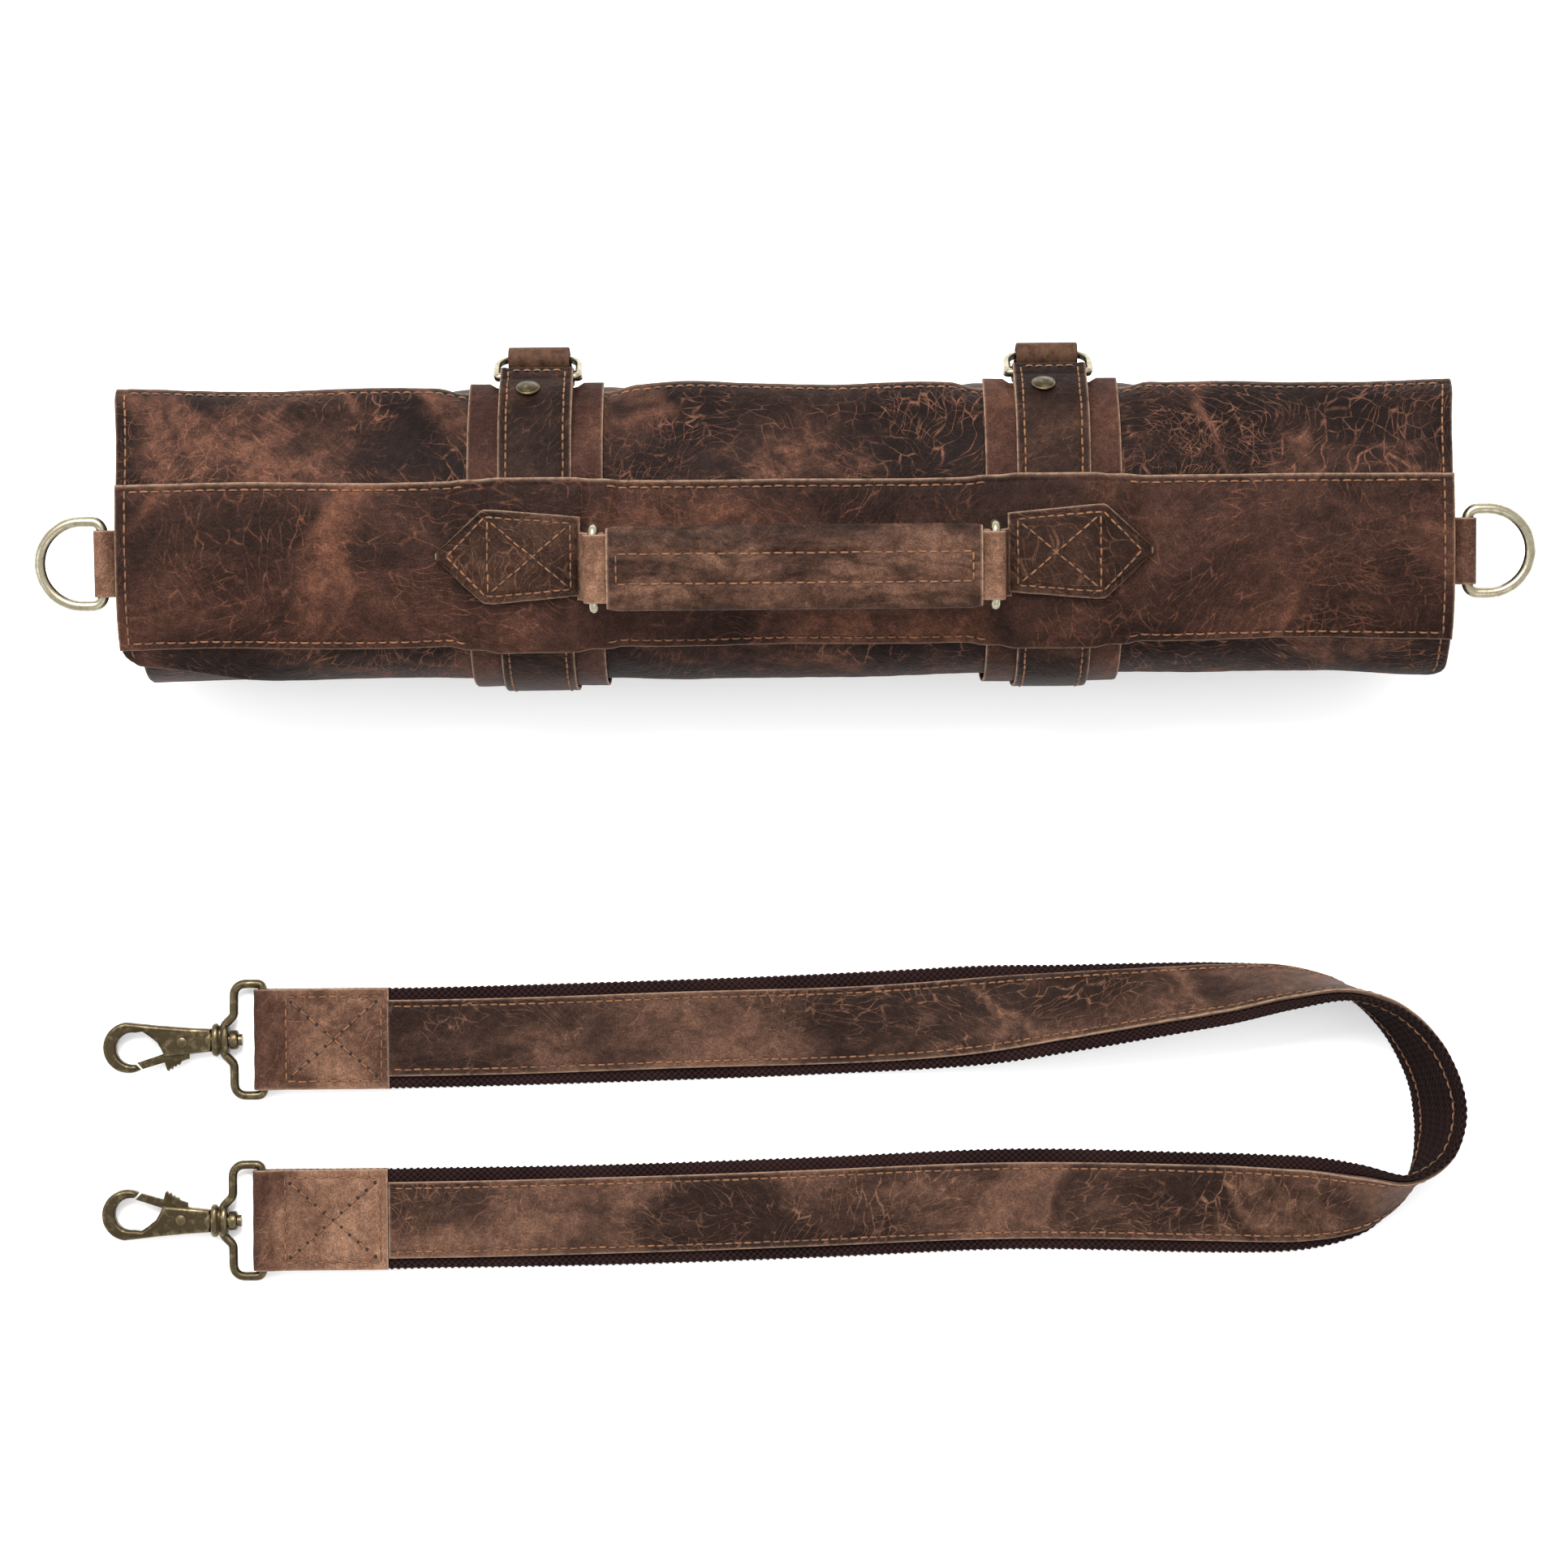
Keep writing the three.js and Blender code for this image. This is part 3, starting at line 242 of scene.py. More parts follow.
def leather(name, dark, mid, light, shift, light_from=0.52, creases=1.0, roughness=0.5,
            raw=(204, 168, 142), cloudy=1.0, vein=1.12, streaks=0.0):
    """Oiled, distressed leather: dark wax, pale pulled-up clouds, a net of creases, a grain."""
    n = Nodes(name)
    flat = n.moved(n.attribute("flat").outputs["Vector"], shift)
    soft = n.warped(flat, 24.0, 0.016)
    bent = n.warped(n.warped(flat, 18.0, 0.022), 170.0, 0.0009)
    cloud = n.noise(n.moved(soft, scale=(0.7, 1.0, 1.0)), 17.0, 7.0, 0.62, 0.3)
    fine_cloud = n.noise(soft, 110.0, 5.0, 0.7)
    base = n.mix(n.ramp(cloud, 0.4, 0.6), linear(dark), linear(mid))
    pale = n.math("MULTIPLY", n.ramp(cloud, light_from, light_from + 0.14),
                  n.ramp(fine_cloud, 0.38, 0.64, 0.1, 1.0))
    sweep = n.noise(n.moved(n.moved(soft, turn=-38.0), scale=(1.0, 0.3, 1.0)), 15.0, 3.0, 0.45)
    ridge = n.math("ABSOLUTE", n.math("SUBTRACT", sweep, 0.5))
    stroke = n.math("MULTIPLY", n.ramp(ridge, 0.0, 0.04, 1.0, 0.0),
                    n.ramp(n.noise(n.moved(soft, (0.2, 0.6, 0.0)), 9.0, 2.0), 0.5, 0.6))
    stroke = n.math("MULTIPLY", stroke, n.ramp(fine_cloud, 0.35, 0.6, 0.25, 1.0))
    pale = n.math("MAXIMUM", pale, n.math("MULTIPLY", stroke, 0.8))
    colour = n.mix(n.math("MULTIPLY", pale, 0.75 * cloudy, clamp=True), base, linear(light))

    drawn = None
    for turn, place, level, size in ((24.0, (0.0, 0.0, 0.0), 0.47, 300.0),
                                     (-50.0, (0.9, 0.4, 0.0), 0.49, 360.0),
                                     (82.0, (0.3, 0.8, 0.0), 0.5, 330.0)):
        run = n.moved(n.moved(bent, place, turn=turn), scale=(1.0, 0.2, 1.0))
        line = n.ramp(n.cracks(run, size), 0.0, 0.07, 1.0, 0.0)
        region = n.ramp(n.noise(n.moved(soft, place), 13.0, 5.0, 0.62), level, level + 0.12)
        fan = n.math("MULTIPLY", line, region)
        drawn = fan if drawn is None else n.math("MAXIMUM", drawn, fan)
    net = n.ramp(n.cracks(n.moved(bent, scale=(0.5, 1.0, 1.0)), 250.0), 0.0, 0.055, 1.0, 0.0)
    tangled = n.ramp(n.noise(n.moved(soft, (0.5, 0.7, 0.0)), 17.0, 3.0, 0.5), 0.5, 0.62, 0.05, 0.7)
    drawn = n.math("MAXIMUM", drawn, n.math("MULTIPLY", net, tangled))
    broken = n.ramp(n.noise(flat, 130.0, 4.0, 0.65), 0.38, 0.6, 0.12, 1.0)
    crease = n.math("MULTIPLY", drawn, broken)
    bright = linear([min(255, c * vein) for c in light])
    colour = n.mix(n.math("MULTIPLY", crease, 0.9 * creases, clamp=True), colour, bright)

    grain = n.noise(flat, 1400.0, 3.0, 0.7)
    speck = n.ramp(grain, 0.3, 0.72, 0.6, 1.3)
    tone = n.ramp(n.noise(flat, 300.0, 4.0, 0.7), 0.32, 0.68, 0.74, 1.24)
    if streaks:
        rubbed = n.noise(n.moved(soft, scale=(0.12, 1.0, 1.0)), 210.0, 4.0, 0.6)
        tone = n.math("MULTIPLY", tone, n.ramp(rubbed, 0.36, 0.58, 1.0 - streaks, 1.08))
    shade = n.math("MULTIPLY", speck, tone)
    colour = n.mix(1.0, colour, n.add("ShaderNodeCombineColor", {0: shade, 1: shade, 2: shade}
                                      ).outputs[0], "MULTIPLY")
    # Lighter raw colour at cut edges and rubbed places; on the band's upper edge this strip is
    # partly a painted highlight.
    edge = n.attribute("edge").outputs["Fac"]
    frayed = n.math("MULTIPLY", edge, n.ramp(n.noise(flat, 260.0, 4.0, 0.7), 0.3, 0.6, 0.35, 1.0))
    colour = n.mix(n.math("MULTIPLY", frayed, 1.0, clamp=True), colour, linear(raw))
    n.put(n.shader.inputs["Base Color"], colour)
    gloss = n.math("ADD", n.math("MULTIPLY", pale, 0.14), roughness)
    n.put(n.shader.inputs["Roughness"], n.math("ADD", gloss, n.math("MULTIPLY", crease, 0.15)))
    n.shader.inputs["Specular IOR Level"].default_value = 0.045
    pores = n.add("ShaderNodeTexVoronoi", {"Vector": bent, "Scale": 640.0}).outputs["Distance"]
    skin = n.bump(n.math("ADD", n.math("MULTIPLY", pores, 0.6), n.math("MULTIPLY", grain, 0.6)),
                  0.00024, 0.9)
    creased = n.bump(n.math("SUBTRACT", 1.0, n.math("MULTIPLY", crease, creases)),
                     0.0003, 0.7, skin)
    broad = n.bump(fine_cloud, 0.0014, 0.45, creased)
    n.put(n.shader.inputs["Normal"], broad)
    return n.material


def thread_material(name, colour):
    """Twisted waxed thread, in its own colour with fine fibres across it."""
    n = Nodes(name)
    place = n.add("ShaderNodeTexCoord").outputs["Object"]
    fibre = n.noise(place, 2600.0, 2.0, 0.6)
    tone = n.noise(place, 160.0, 2.0, 0.5)
    worn = n.mix(n.ramp(tone, 0.35, 0.65), linear([c * 0.72 for c in colour]), linear(colour))
    n.put(n.shader.inputs["Base Color"],
          n.mix(n.ramp(fibre, 0.35, 0.65, 0.0, 0.45), worn, linear([c * 0.55 for c in colour])))
    n.shader.inputs["Roughness"].default_value = 0.7
    n.put(n.shader.inputs["Normal"], n.bump(fibre, 0.00015, 0.8))
    return n.material


# Needle holes are drawn as dark discs: painted shade standing in for the dark inside of each hole.
def hole_shade_material():
    n = Nodes("needle_hole_shade")
    place = n.add("ShaderNodeTexCoord").outputs["Object"]
    tone = n.ramp(n.noise(place, 900.0, 2.0), 0.3, 0.7)
    n.put(n.shader.inputs["Base Color"], n.mix(tone, linear((22, 14, 11)), linear((40, 26, 20))))
    n.shader.inputs["Roughness"].default_value = 0.9
    return n.material


CROSS_YARNS = 1.1


def woven(name, dark, light, pitch, roughness=0.92, depth=0.0005):
    """Plain woven cloth or webbing: yarns over and under at the given pitch, with loose fibres. The
    colour darkens in the weave's hollows and lightens on its crowns, as painted shade and
    highlight.
    """
    n = Nodes(name)
    flat = n.attribute("flat").outputs["Vector"]
    parts = n.add("ShaderNodeSeparateXYZ", {0: flat})
    turn = 2 * math.pi / pitch
    along = n.math("SINE", n.math("MULTIPLY", parts.outputs[0], turn))
    across = n.math("SINE", n.math("MULTIPLY", parts.outputs[1], turn * CROSS_YARNS))
    weave = n.math("MULTIPLY", along, across)
    fibre = n.noise(n.moved(flat, scale=(1.0, 0.35, 1.0)), 3200.0, 3.0, 0.7)
    fade = n.noise(flat, 30.0, 3.0, 0.5)
    height = n.math("ADD", n.math("MULTIPLY", weave, 0.5), n.math("MULTIPLY", fibre, 0.5))
    # Painted shade and highlight: the colour follows the weave's height, darker in the hollows
    # between yarns and lighter on the crowns; the slow fade added to it is the cloth's own uneven
    # tone.
    tone = n.math("ADD", n.ramp(height, -0.25, 0.75, 0.0, 0.8), n.ramp(fade, 0.3, 0.7, -0.05, 0.2),
                  clamp=True)
    colour = n.mix(tone, linear(dark), linear(light))
    n.put(n.shader.inputs["Base Color"], colour)
    n.shader.inputs["Roughness"].default_value = roughness
    n.shader.inputs["Specular IOR Level"].default_value = 0.06
    n.put(n.shader.inputs["Normal"], n.bump(height, depth, 0.8))
    return n.material


def brass(name, dark, bright, worn_from, roughness, scratch=1.0):
    """Aged brass: dark patina in the hollows, brighter metal where it rubs, and fine scratches."""
    n = Nodes(name)
    place = n.add("ShaderNodeTexCoord").outputs["Object"]
    patina = n.noise(place, 330.0, 5.0, 0.6, 0.2)
    fine = n.noise(place, 1300.0, 3.0, 0.7)
    rub = n.add("ShaderNodeNewGeometry").outputs["Pointiness"]
    raised = n.ramp(rub, 0.495, 0.56)
    cover = n.math("ADD", n.ramp(patina, worn_from, worn_from + 0.3, 0.0, 0.75),
                   n.math("MULTIPLY", raised, 0.45),
                   clamp=True)
    colour = n.mix(cover, linear(dark), linear(bright))
    colour = n.mix(n.ramp(fine, 0.3, 0.75, 0.0, 0.3), colour, linear([c * 0.5 for c in dark]))
    n.put(n.shader.inputs["Base Color"], colour)
    n.shader.inputs["Metallic"].default_value = 1.0
    n.put(n.shader.inputs["Roughness"],
          n.ramp(patina, 0.3, 0.7, roughness + 0.12, roughness - 0.05))
    n.put(n.shader.inputs["Normal"], n.bump(fine, 0.00005, 0.35 * scratch))
    return n.material


LEATHER = {
    "cover": leather("cover_leather", (33, 21, 18), (57, 38, 32), (142, 97, 78), (0.3, 0.1, 0.0),
                     light_from=0.5, vein=1.12, creases=0.88),
    "band": leather("band_leather", (50, 32, 26), (86, 57, 47), (150, 99, 77), (1.7, 0.6, 0.0),
                    light_from=0.54, creases=0.42),
    "closure": leather("closure_leather", (66, 40, 33), (92, 60, 49), (136, 94, 74),
                       (2.9, 0.2, 0.0),
                       light_from=0.54, creases=0.4),
    "dark": leather("dark_strap_leather", (36, 23, 19), (64, 43, 35), (120, 86, 68),
                    (3.6, 0.7, 0.0), light_from=0.53, creases=0.4),
    "patch": leather("patch_leather", (36, 22, 18), (66, 44, 35), (136, 98, 76), (7.3, 0.5, 0.0),
                     light_from=0.55, creases=0.6),
    "strap": leather("strap_leather", (52, 35, 29), (104, 75, 62), (146, 107, 86), (4.1, 0.9, 0.0),
                     light_from=0.49, creases=0.8),
    "tan": leather("tan_leather", (90, 61, 49), (140, 102, 82), (174, 132, 106), (8.9, 0.3, 0.0),
                   light_from=0.46, creases=0.35),
    "grip": leather("grip_leather", (62, 42, 34), (104, 74, 60), (140, 103, 84), (5.3, 0.4, 0.0),
                    light_from=0.44, creases=0.2, roughness=0.45, streaks=0.42),
    "red": leather("tail_leather", (46, 26, 21), (66, 40, 31), (104, 67, 50), (6.1, 0.7, 0.0),
                   light_from=0.54, creases=0.3, raw=(150, 112, 88)),
}
THREAD = thread_material("amber_thread", (180, 116, 66))
HOLE_SHADE = hole_shade_material()
WEBBING = woven("dark_webbing", (16, 9, 10), (66, 44, 42), 0.0025)
CANVAS = woven("waxed_canvas", (88, 70, 52), (132, 108, 82), 0.0007, depth=0.0002)
PALE_BRASS = brass("pale_brass", (196, 184, 150), (240, 231, 204), 0.34, 0.26)
OLD_BRASS = brass("antique_brass", (80, 68, 50), (172, 154, 118), 0.46, 0.34)


# ---- the section of the roll ----
def smoothstep(low, high, value):
    share = np.clip((value - low) / (high - low), 0.0, 1.0)
    return share * share * (3 - 2 * share)


def outline(offset, degrees):
    """Y and Z on the roll's outline, or on a line a set distance outside it."""
    angle = np.radians(degrees)
    power = 2 / ROLL_SQUARENESS
    across = np.sign(np.cos(angle)) * np.abs(np.cos(angle)) ** power
    up = np.sign(np.sin(angle)) * np.abs(np.sin(angle)) ** power
    half_height = ROLL_HALF_HEIGHT + offset
    z = ROLL_Z + np.maximum(half_height * up, ROLL_FLAT - half_height)
    return ROLL_Y + (ROLL_HALF_WIDTH + offset) * across, z


def ripple(x, y, seed, size, reach):
    """A smooth random swell over a surface: wave length about size, height about reach."""
    draw = np.random.RandomState(seed)
    total = np.zeros(np.broadcast(x, y).shape)
    waves = 7
    for _ in range(waves):
        turn, phase = draw.uniform(0, math.tau, 2)
        step = math.tau / (size * draw.uniform(0.6, 1.7))
        total += np.sin(step * (x * math.cos(turn) + y * math.sin(turn)) + phase)
    return reach * total / math.sqrt(waves)


def roll_swell(x, degrees):
    """How far the whole stack bulges at a place, which every wrapped layer shares."""
    free = smoothstep(-0.55, 0.15, np.sin(np.radians(degrees)))
    held = 1.0
    for centre in CLOSURE_X.values():
        held = held * (1 - 0.95 * np.exp(-(((x - centre) / 38.0) ** 4)))
    return 0.8 * free * held * ripple(x, degrees * 0.9, 11, 95.0, 1.0)


def band_lift(x):
    """How far the band is pushed out where it passes over a closure's backing and strap."""
    lift = 0.0
    for centre in CLOSURE_X.values():
        away = np.abs(x - centre)
        lift = (lift + 1.7 * (1 - smoothstep(24.6, 31.0, away))
                + 1.6 * (1 - smoothstep(13.6, 20.0, away)))
    return lift


class Profile:
    """A line in Y and Z that a sheet follows, measured in millimetres along it."""

    def __init__(self, points, outward=1.0, degrees=None):
        self.points = np.asarray(points, float)
        steps = np.linalg.norm(np.diff(self.points, axis=0), axis=1)
        self.along = np.concatenate([[0.0], np.cumsum(steps)])
        self.length = self.along[-1]
        slope = np.gradient(self.points, self.along, axis=0)
        slope /= np.linalg.norm(slope, axis=1)[:, None]
        self.normals = outward * np.stack([-slope[:, 1], slope[:, 0]], axis=1)
        self.degrees = degrees

    def angle(self, t):
        return np.interp(t, self.along, self.degrees)

    def at_angle(self, degrees):
        """The distance along the line at which it passes an angle round the roll."""
        order = np.argsort(self.degrees)
        return float(np.interp(degrees, self.degrees[order], self.along[order]))

    def place(self, x, t, height):
        y, z, ny, nz = (
            np.interp(t, self.along, column)
            for column in (*self.points.T, *self.normals.T))
        return np.stack(np.broadcast_arrays(x, y + ny * height, z + nz * height), axis=-1)


def wrap(start, end, offset, swell=True):
    """A profile on the roll's outline between two angles, and its place function with the swell."""
    degrees = np.linspace(start, end, 1500)
    shift = offset(degrees) if callable(offset) else np.full_like(degrees, offset)
    profile = Profile(np.stack(outline(shift, degrees), axis=1), 1.0, degrees)

    def place(x, t, height):
        angle = profile.angle(t)
        out = np.interp(angle, np.sort(degrees), shift[np.argsort(degrees)])
        if swell:
            out = out + roll_swell(x, angle)
        y, z = outline(out + height, angle)
        return np.stack(np.broadcast_arrays(x, y, z), axis=-1)

    return profile, place


# ---- mesh helpers ----
def link_mesh(name, points, faces, materials, body, nodes=(), indices=None, smooth=True):
    """Points in millimetres become a piece that rides on a body and stands for its CAD nodes."""
    mesh = bpy.data.meshes.new(name)
    mesh.from_pydata((np.asarray(points, float) * MM).tolist(), [], faces)
    for material in materials:
        mesh.materials.append(material)
    if indices is not None:
        mesh.polygons.foreach_set("material_index", np.asarray(indices, np.int32))
    mesh.polygons.foreach_set("use_smooth", [smooth] * len(mesh.polygons))
    mesh.update()
    piece = bpy.data.objects.new(name, mesh)
    bpy.context.scene.collection.objects.link(piece)
    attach(piece, body)
    if nodes:
        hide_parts(*nodes)
    return piece


def set_attribute(piece, name, values):
    values = np.asarray(values, np.float32)
    kind = "FLOAT_VECTOR" if values.ndim == 2 else "FLOAT"
    attribute = piece.data.attributes.new(name, kind, "POINT")
    attribute.data.foreach_set("vector" if values.ndim == 2 else "value", values.ravel())


BORDER_LINES = (0.0, 0.22, 0.55, 1.1, 1.9)
SEAM_LINES = (-1.3, -0.7, 0.0, 0.7, 1.3)


def lines(low, high, step, seams=(), borders=(True, True)):
    """Grid lines from low to high, closer together at the borders and beside the seams."""
    found = list(np.linspace(low, high, max(2, int(round((high - low) / step)) + 1)))
    if borders[0]:
        found += [low + d for d in BORDER_LINES]
    if borders[1]:
        found += [high - d for d in BORDER_LINES]
    found += [seam + d for seam in seams for d in SEAM_LINES]
    found = np.unique(np.round([v for v in found if low <= v <= high], 3))
    keep = [found[0]]
    for value in found[1:]:
        if value - keep[-1] > 0.15:
            keep.append(value)
    keep[-1] = high
    return np.array(keep)


def seam_groove(value, seams, depth=0.32, reach=0.75):
    return sum((depth * np.exp(-(((value - seam) / reach) ** 2)) for seam in seams), 0.0)


def sheet(name, place, s, t, thickness, material, body, nodes=(), low=0.0, rounding=0.45,
          trim=None, relief=None, wear_and_highlight=None, shift=(0.0, 0.0)):
    """A closed sheet over the grid lines s and t, with rounded rims and its flat coordinates kept.
    place(s, t, height) gives points, trim reshapes the flat outline, relief is added height, and
    the wear function gives where else the surface is lightened towards the raw colour: rubbed raw,
    and along the band's upper edge partly a painted highlight."""
    grid_s, grid_t = np.meshgrid(s, t, indexing="ij")
    rim = np.minimum.reduce([grid_s - s[0], s[-1] - grid_s, grid_t - t[0], t[-1] - grid_t])
    short = np.clip(rounding - rim, 0.0, None)
    drop = rounding - np.sqrt(np.maximum(rounding**2 - short**2, 0.0))
    flat_s, flat_t = trim(grid_s, grid_t) if trim else (grid_s, grid_t)
    extra = relief(flat_s, flat_t) if relief else 0.0
    top = place(flat_s, flat_t, low + thickness - drop + extra)
    bottom = place(flat_s, flat_t, low + drop + 0.0 * flat_s)
    rows, columns = grid_s.shape
    count = rows * columns
    index = np.arange(count).reshape(rows, columns)
    a, b = index[:-1, :-1].ravel(), index[1:, :-1].ravel()
    c, d = index[1:, 1:].ravel(), index[:-1, 1:].ravel()
    upper = np.stack([a, b, c, d], axis=1)
    lower = np.stack([d, c, b, a], axis=1) + count
    border = np.concatenate([index[:, 0], index[-1, 1:], index[-2::-1, -1], index[0, -2:0:-1]])
    after = np.roll(border, -1)
    wall = np.stack([after, border, border + count, after + count], axis=1)
    points = np.concatenate([top.reshape(-1, 3), bottom.reshape(-1, 3)])
    faces = np.concatenate([upper, lower, wall])
    mid = index[rows // 2, columns // 2]
    around = points[[mid, mid + columns, mid + 1]]
    facing = np.cross(around[1] - around[0], around[2] - around[0])
    if np.dot(facing, points[mid] - points[mid + count]) < 0:
        faces = faces[:, ::-1]
    piece = link_mesh(name, points, faces.tolist(), [material], body, nodes)
    flat = np.stack([flat_s + shift[0], flat_t + shift[1], 0 * flat_s], axis=-1).reshape(-1, 3) * MM
    set_attribute(piece, "flat", np.concatenate([flat, flat + (0.0, 0.0, 0.05)]))
    fray = np.exp(-((rim / 0.4) ** 2))
    if wear_and_highlight:
        fray = np.clip(fray + wear_and_highlight(flat_s, flat_t), 0.0, 1.0)
    fray = fray.ravel()
    set_attribute(piece, "edge", np.concatenate([fray, 0.45 + 0.0 * fray]))
    return piece


# ---- stitching ----
THREAD_RADIUS = 0.32
HOLE_RADIUS = 0.6


def spaced(corners, pitch):
    """Points a stitch apart along a line through flat corners, each straight run evenly divided."""
    corners = np.asarray(corners, float)
    found = [corners[:1]]
    for start, end in zip(corners[:-1], corners[1:]):
        count = max(1, int(round(np.linalg.norm(end - start) / pitch)))
        found.append(start + (end - start) * (np.arange(1, count + 1) / count)[:, None])
    return np.concatenate(found)


def spaced_along(corners, pitch):
    """Points a stitch apart along a curved line given by many close points."""
    corners = np.asarray(corners, float)
    along = np.concatenate([[0.0], np.cumsum(np.linalg.norm(np.diff(corners, axis=0), axis=1))])
    count = max(1, int(round(along[-1] / pitch)))
    at = np.linspace(0.0, along[-1], count + 1)
    return np.stack([np.interp(at, along, column) for column in corners.T], axis=1)


def sew(name, rows, place, height, body, seed=1, radius=THREAD_RADIUS, hole=HOLE_RADIUS):
    """Lockstitch: rounded threads between needle holes, each hole a small dark disc of painted
    shade, in a piece of its own.
    rows are lists of flat holes. height is the surface's,
    as a number or a function of the flat place."""
    draw = np.random.RandomState(seed)
    surface = height if callable(height) else (lambda s, t: height + 0.0 * s)
    ring_at = np.array([0.06, 0.22, 0.5, 0.78, 0.94])
    ring_lift = np.array([-0.35, 0.1, 0.24, 0.1, -0.35])
    ring_size = np.array([0.55, 0.95, 1.0, 0.95, 0.55])
    turn = np.arange(6) * math.tau / 6
    points, faces, indices = [], [], []
    total = 0
    for row in rows:
        row = np.asarray(row, float)
        start, end = row[:-1], row[1:]
        count = len(start)
        wobble = draw.uniform(-0.12, 0.12, (count, 1, 2))
        flat = start[:, None] + (end - start)[:, None] * ring_at[None, :, None] + wobble
        flat_s, flat_t = flat[..., 0], flat[..., 1]
        here = place(flat_s, flat_t, surface(flat_s, flat_t))
        above = place(flat_s, flat_t, surface(flat_s, flat_t) + 1.0)
        up = above - here
        up /= np.linalg.norm(up, axis=-1, keepdims=True)
        run = (here[:, -1] - here[:, 0])[:, None]
        side = np.cross(run, up)
        side /= np.linalg.norm(side, axis=-1, keepdims=True)
        size = radius * draw.uniform(0.88, 1.1, (count, 1)) * ring_size
        centre = here + up * (radius * 0.9 * ring_lift / 0.24 + 0.06)[None, :, None]
        rings = (centre[:, :, None]
                 + side[:, :, None] * (np.cos(turn)[None, None, :, None]
                         * size[..., None, None] * 1.15)
                 + up[:, :, None] * (np.sin(turn)[None, None, :, None] * size[..., None, None]))
        points.append(rings.reshape(-1, 3))
        base = total + 30 * np.arange(count)
        ring_faces = [
            [6 * i + k, 6 * i + (k + 1) % 6, 6 * i + 6 + (k + 1) % 6, 6 * i + 6 + k]
            for i in range(4) for k in range(6)]
        for corner in ring_faces:
            faces += (base[:, None] + np.array(corner)).tolist()
        faces += (base[:, None] + np.arange(5, -1, -1)).tolist()
        faces += (base[:, None] + np.arange(24, 30)).tolist()
        indices += [0] * (26 * count)
        total += 30 * count

        # Each needle hole: a flat disc on the surface in the dark hole colour, painted shade for
        # the recess.
        flat_s, flat_t = row[:, 0], row[:, 1]
        here = place(flat_s, flat_t, surface(flat_s, flat_t))
        up = place(flat_s, flat_t, surface(flat_s, flat_t) + 1.0) - here
        up /= np.linalg.norm(up, axis=-1, keepdims=True)
        run = np.gradient(here, axis=0)
        side = np.cross(run, up)
        side /= np.linalg.norm(side, axis=-1, keepdims=True)
        along = np.cross(up, side)
        rim = (here[:, None]
               + side[:, None] * (np.cos(turn)[None, :, None] * hole)
               + along[:, None] * (np.sin(turn)[None, :, None] * hole))
        lens = np.concatenate([rim, (here + up * 0.07)[:, None],
                              (here - up * 0.3)[:, None]], axis=1)
        points.append(lens.reshape(-1, 3))
        base = total + 8 * np.arange(len(row))
        for k in range(6):
            faces += (base[:, None] + np.array([k, (k + 1) % 6, 6])).tolist()
            faces += (base[:, None] + np.array([(k + 1) % 6, k, 7])).tolist()
        indices += [1] * (12 * len(row))
        total += 8 * len(row)
    piece = link_mesh(
        name, np.concatenate(points), faces, [THREAD, HOLE_SHADE], body, indices=indices)
    outward(piece)
    return piece


def outward(piece):
    """Turns every closed shell of a piece right side out."""
    import bmesh

    work = bmesh.new()
    work.from_mesh(piece.data)
    bmesh.ops.recalc_face_normals(work, faces=work.faces)
    work.to_mesh(piece.data)
    work.free()


# ---- wire, turned and cast pieces ----
def tube_rings(path, radii, sides, closed):
    """Rings of points round a path, turned as little as possible from one to the next."""
    path = np.asarray(path, float)
    if closed:
        tangent = np.roll(path, -1, axis=0) - np.roll(path, 1, axis=0)
    else:
        tangent = np.gradient(path, axis=0)
    tangent /= np.linalg.norm(tangent, axis=1)[:, None]
    normal = np.cross(tangent[0], (0.31, 0.17, 0.93))
    normals = []
    for direction in tangent:
        normal = normal - direction * np.dot(normal, direction)
        normal = normal / np.linalg.norm(normal)
        normals.append(normal)
    normals = np.array(normals)
    others = np.cross(tangent, normals)
    turn = np.arange(sides) * math.tau / sides
    radii = np.broadcast_to(radii, (len(path),))
    return (path[:, None]
            + normals[:, None] * (np.cos(turn)[None, :, None] * radii[:, None, None])
            + others[:, None] * (np.sin(turn)[None, :, None] * radii[:, None, None]))


def tube(path, radii, sides=20, closed=True):
    """Points and faces of a round wire along a path."""
    rings = tube_rings(path, radii, sides, closed)
    count = len(rings)
    faces = []
    for i in range(count if closed else count - 1):
        j = (i + 1) % count
        faces += [[sides * i + k, sides * i + (k + 1) % sides,
                   sides * j + (k + 1) % sides, sides * j + k] for k in range(sides)]
    if not closed:
        faces.append(list(range(sides - 1, -1, -1)))
        faces.append([sides * (count - 1) + k for k in range(sides)])
    return rings.reshape(-1, 3), faces


def merged(*parts):
    """Several (points, faces) pairs as one."""
    points, faces, total = [], [], 0
    for part_points, part_faces in parts:
        points.append(np.asarray(part_points, float))
        faces += [[total + k for k in face] for face in part_faces]
        total += len(part_points)
    return np.concatenate(points), faces


def ring_outline(width, depth, near, far, step=1.0):
    """A closed loop with a straight bar on y = 0 and its far side at y = depth."""
    x = width / 2
    arcs = [((x - near, near), near, -90), ((x - far, depth - far), far, 0),
            ((far - x, depth - far), far, 90), ((near - x, near), near, 180)]
    corners = [(0.0, 0.0)]
    for (cx, cy), radius, start in arcs:
        for k in range(13):
            angle = math.radians(start + 90 * k / 12)
            corners.append((cx + radius * math.cos(angle), cy + radius * math.sin(angle)))
    corners.append((0.0, 0.0))
    return spaced_along(corners, step)[:-1]


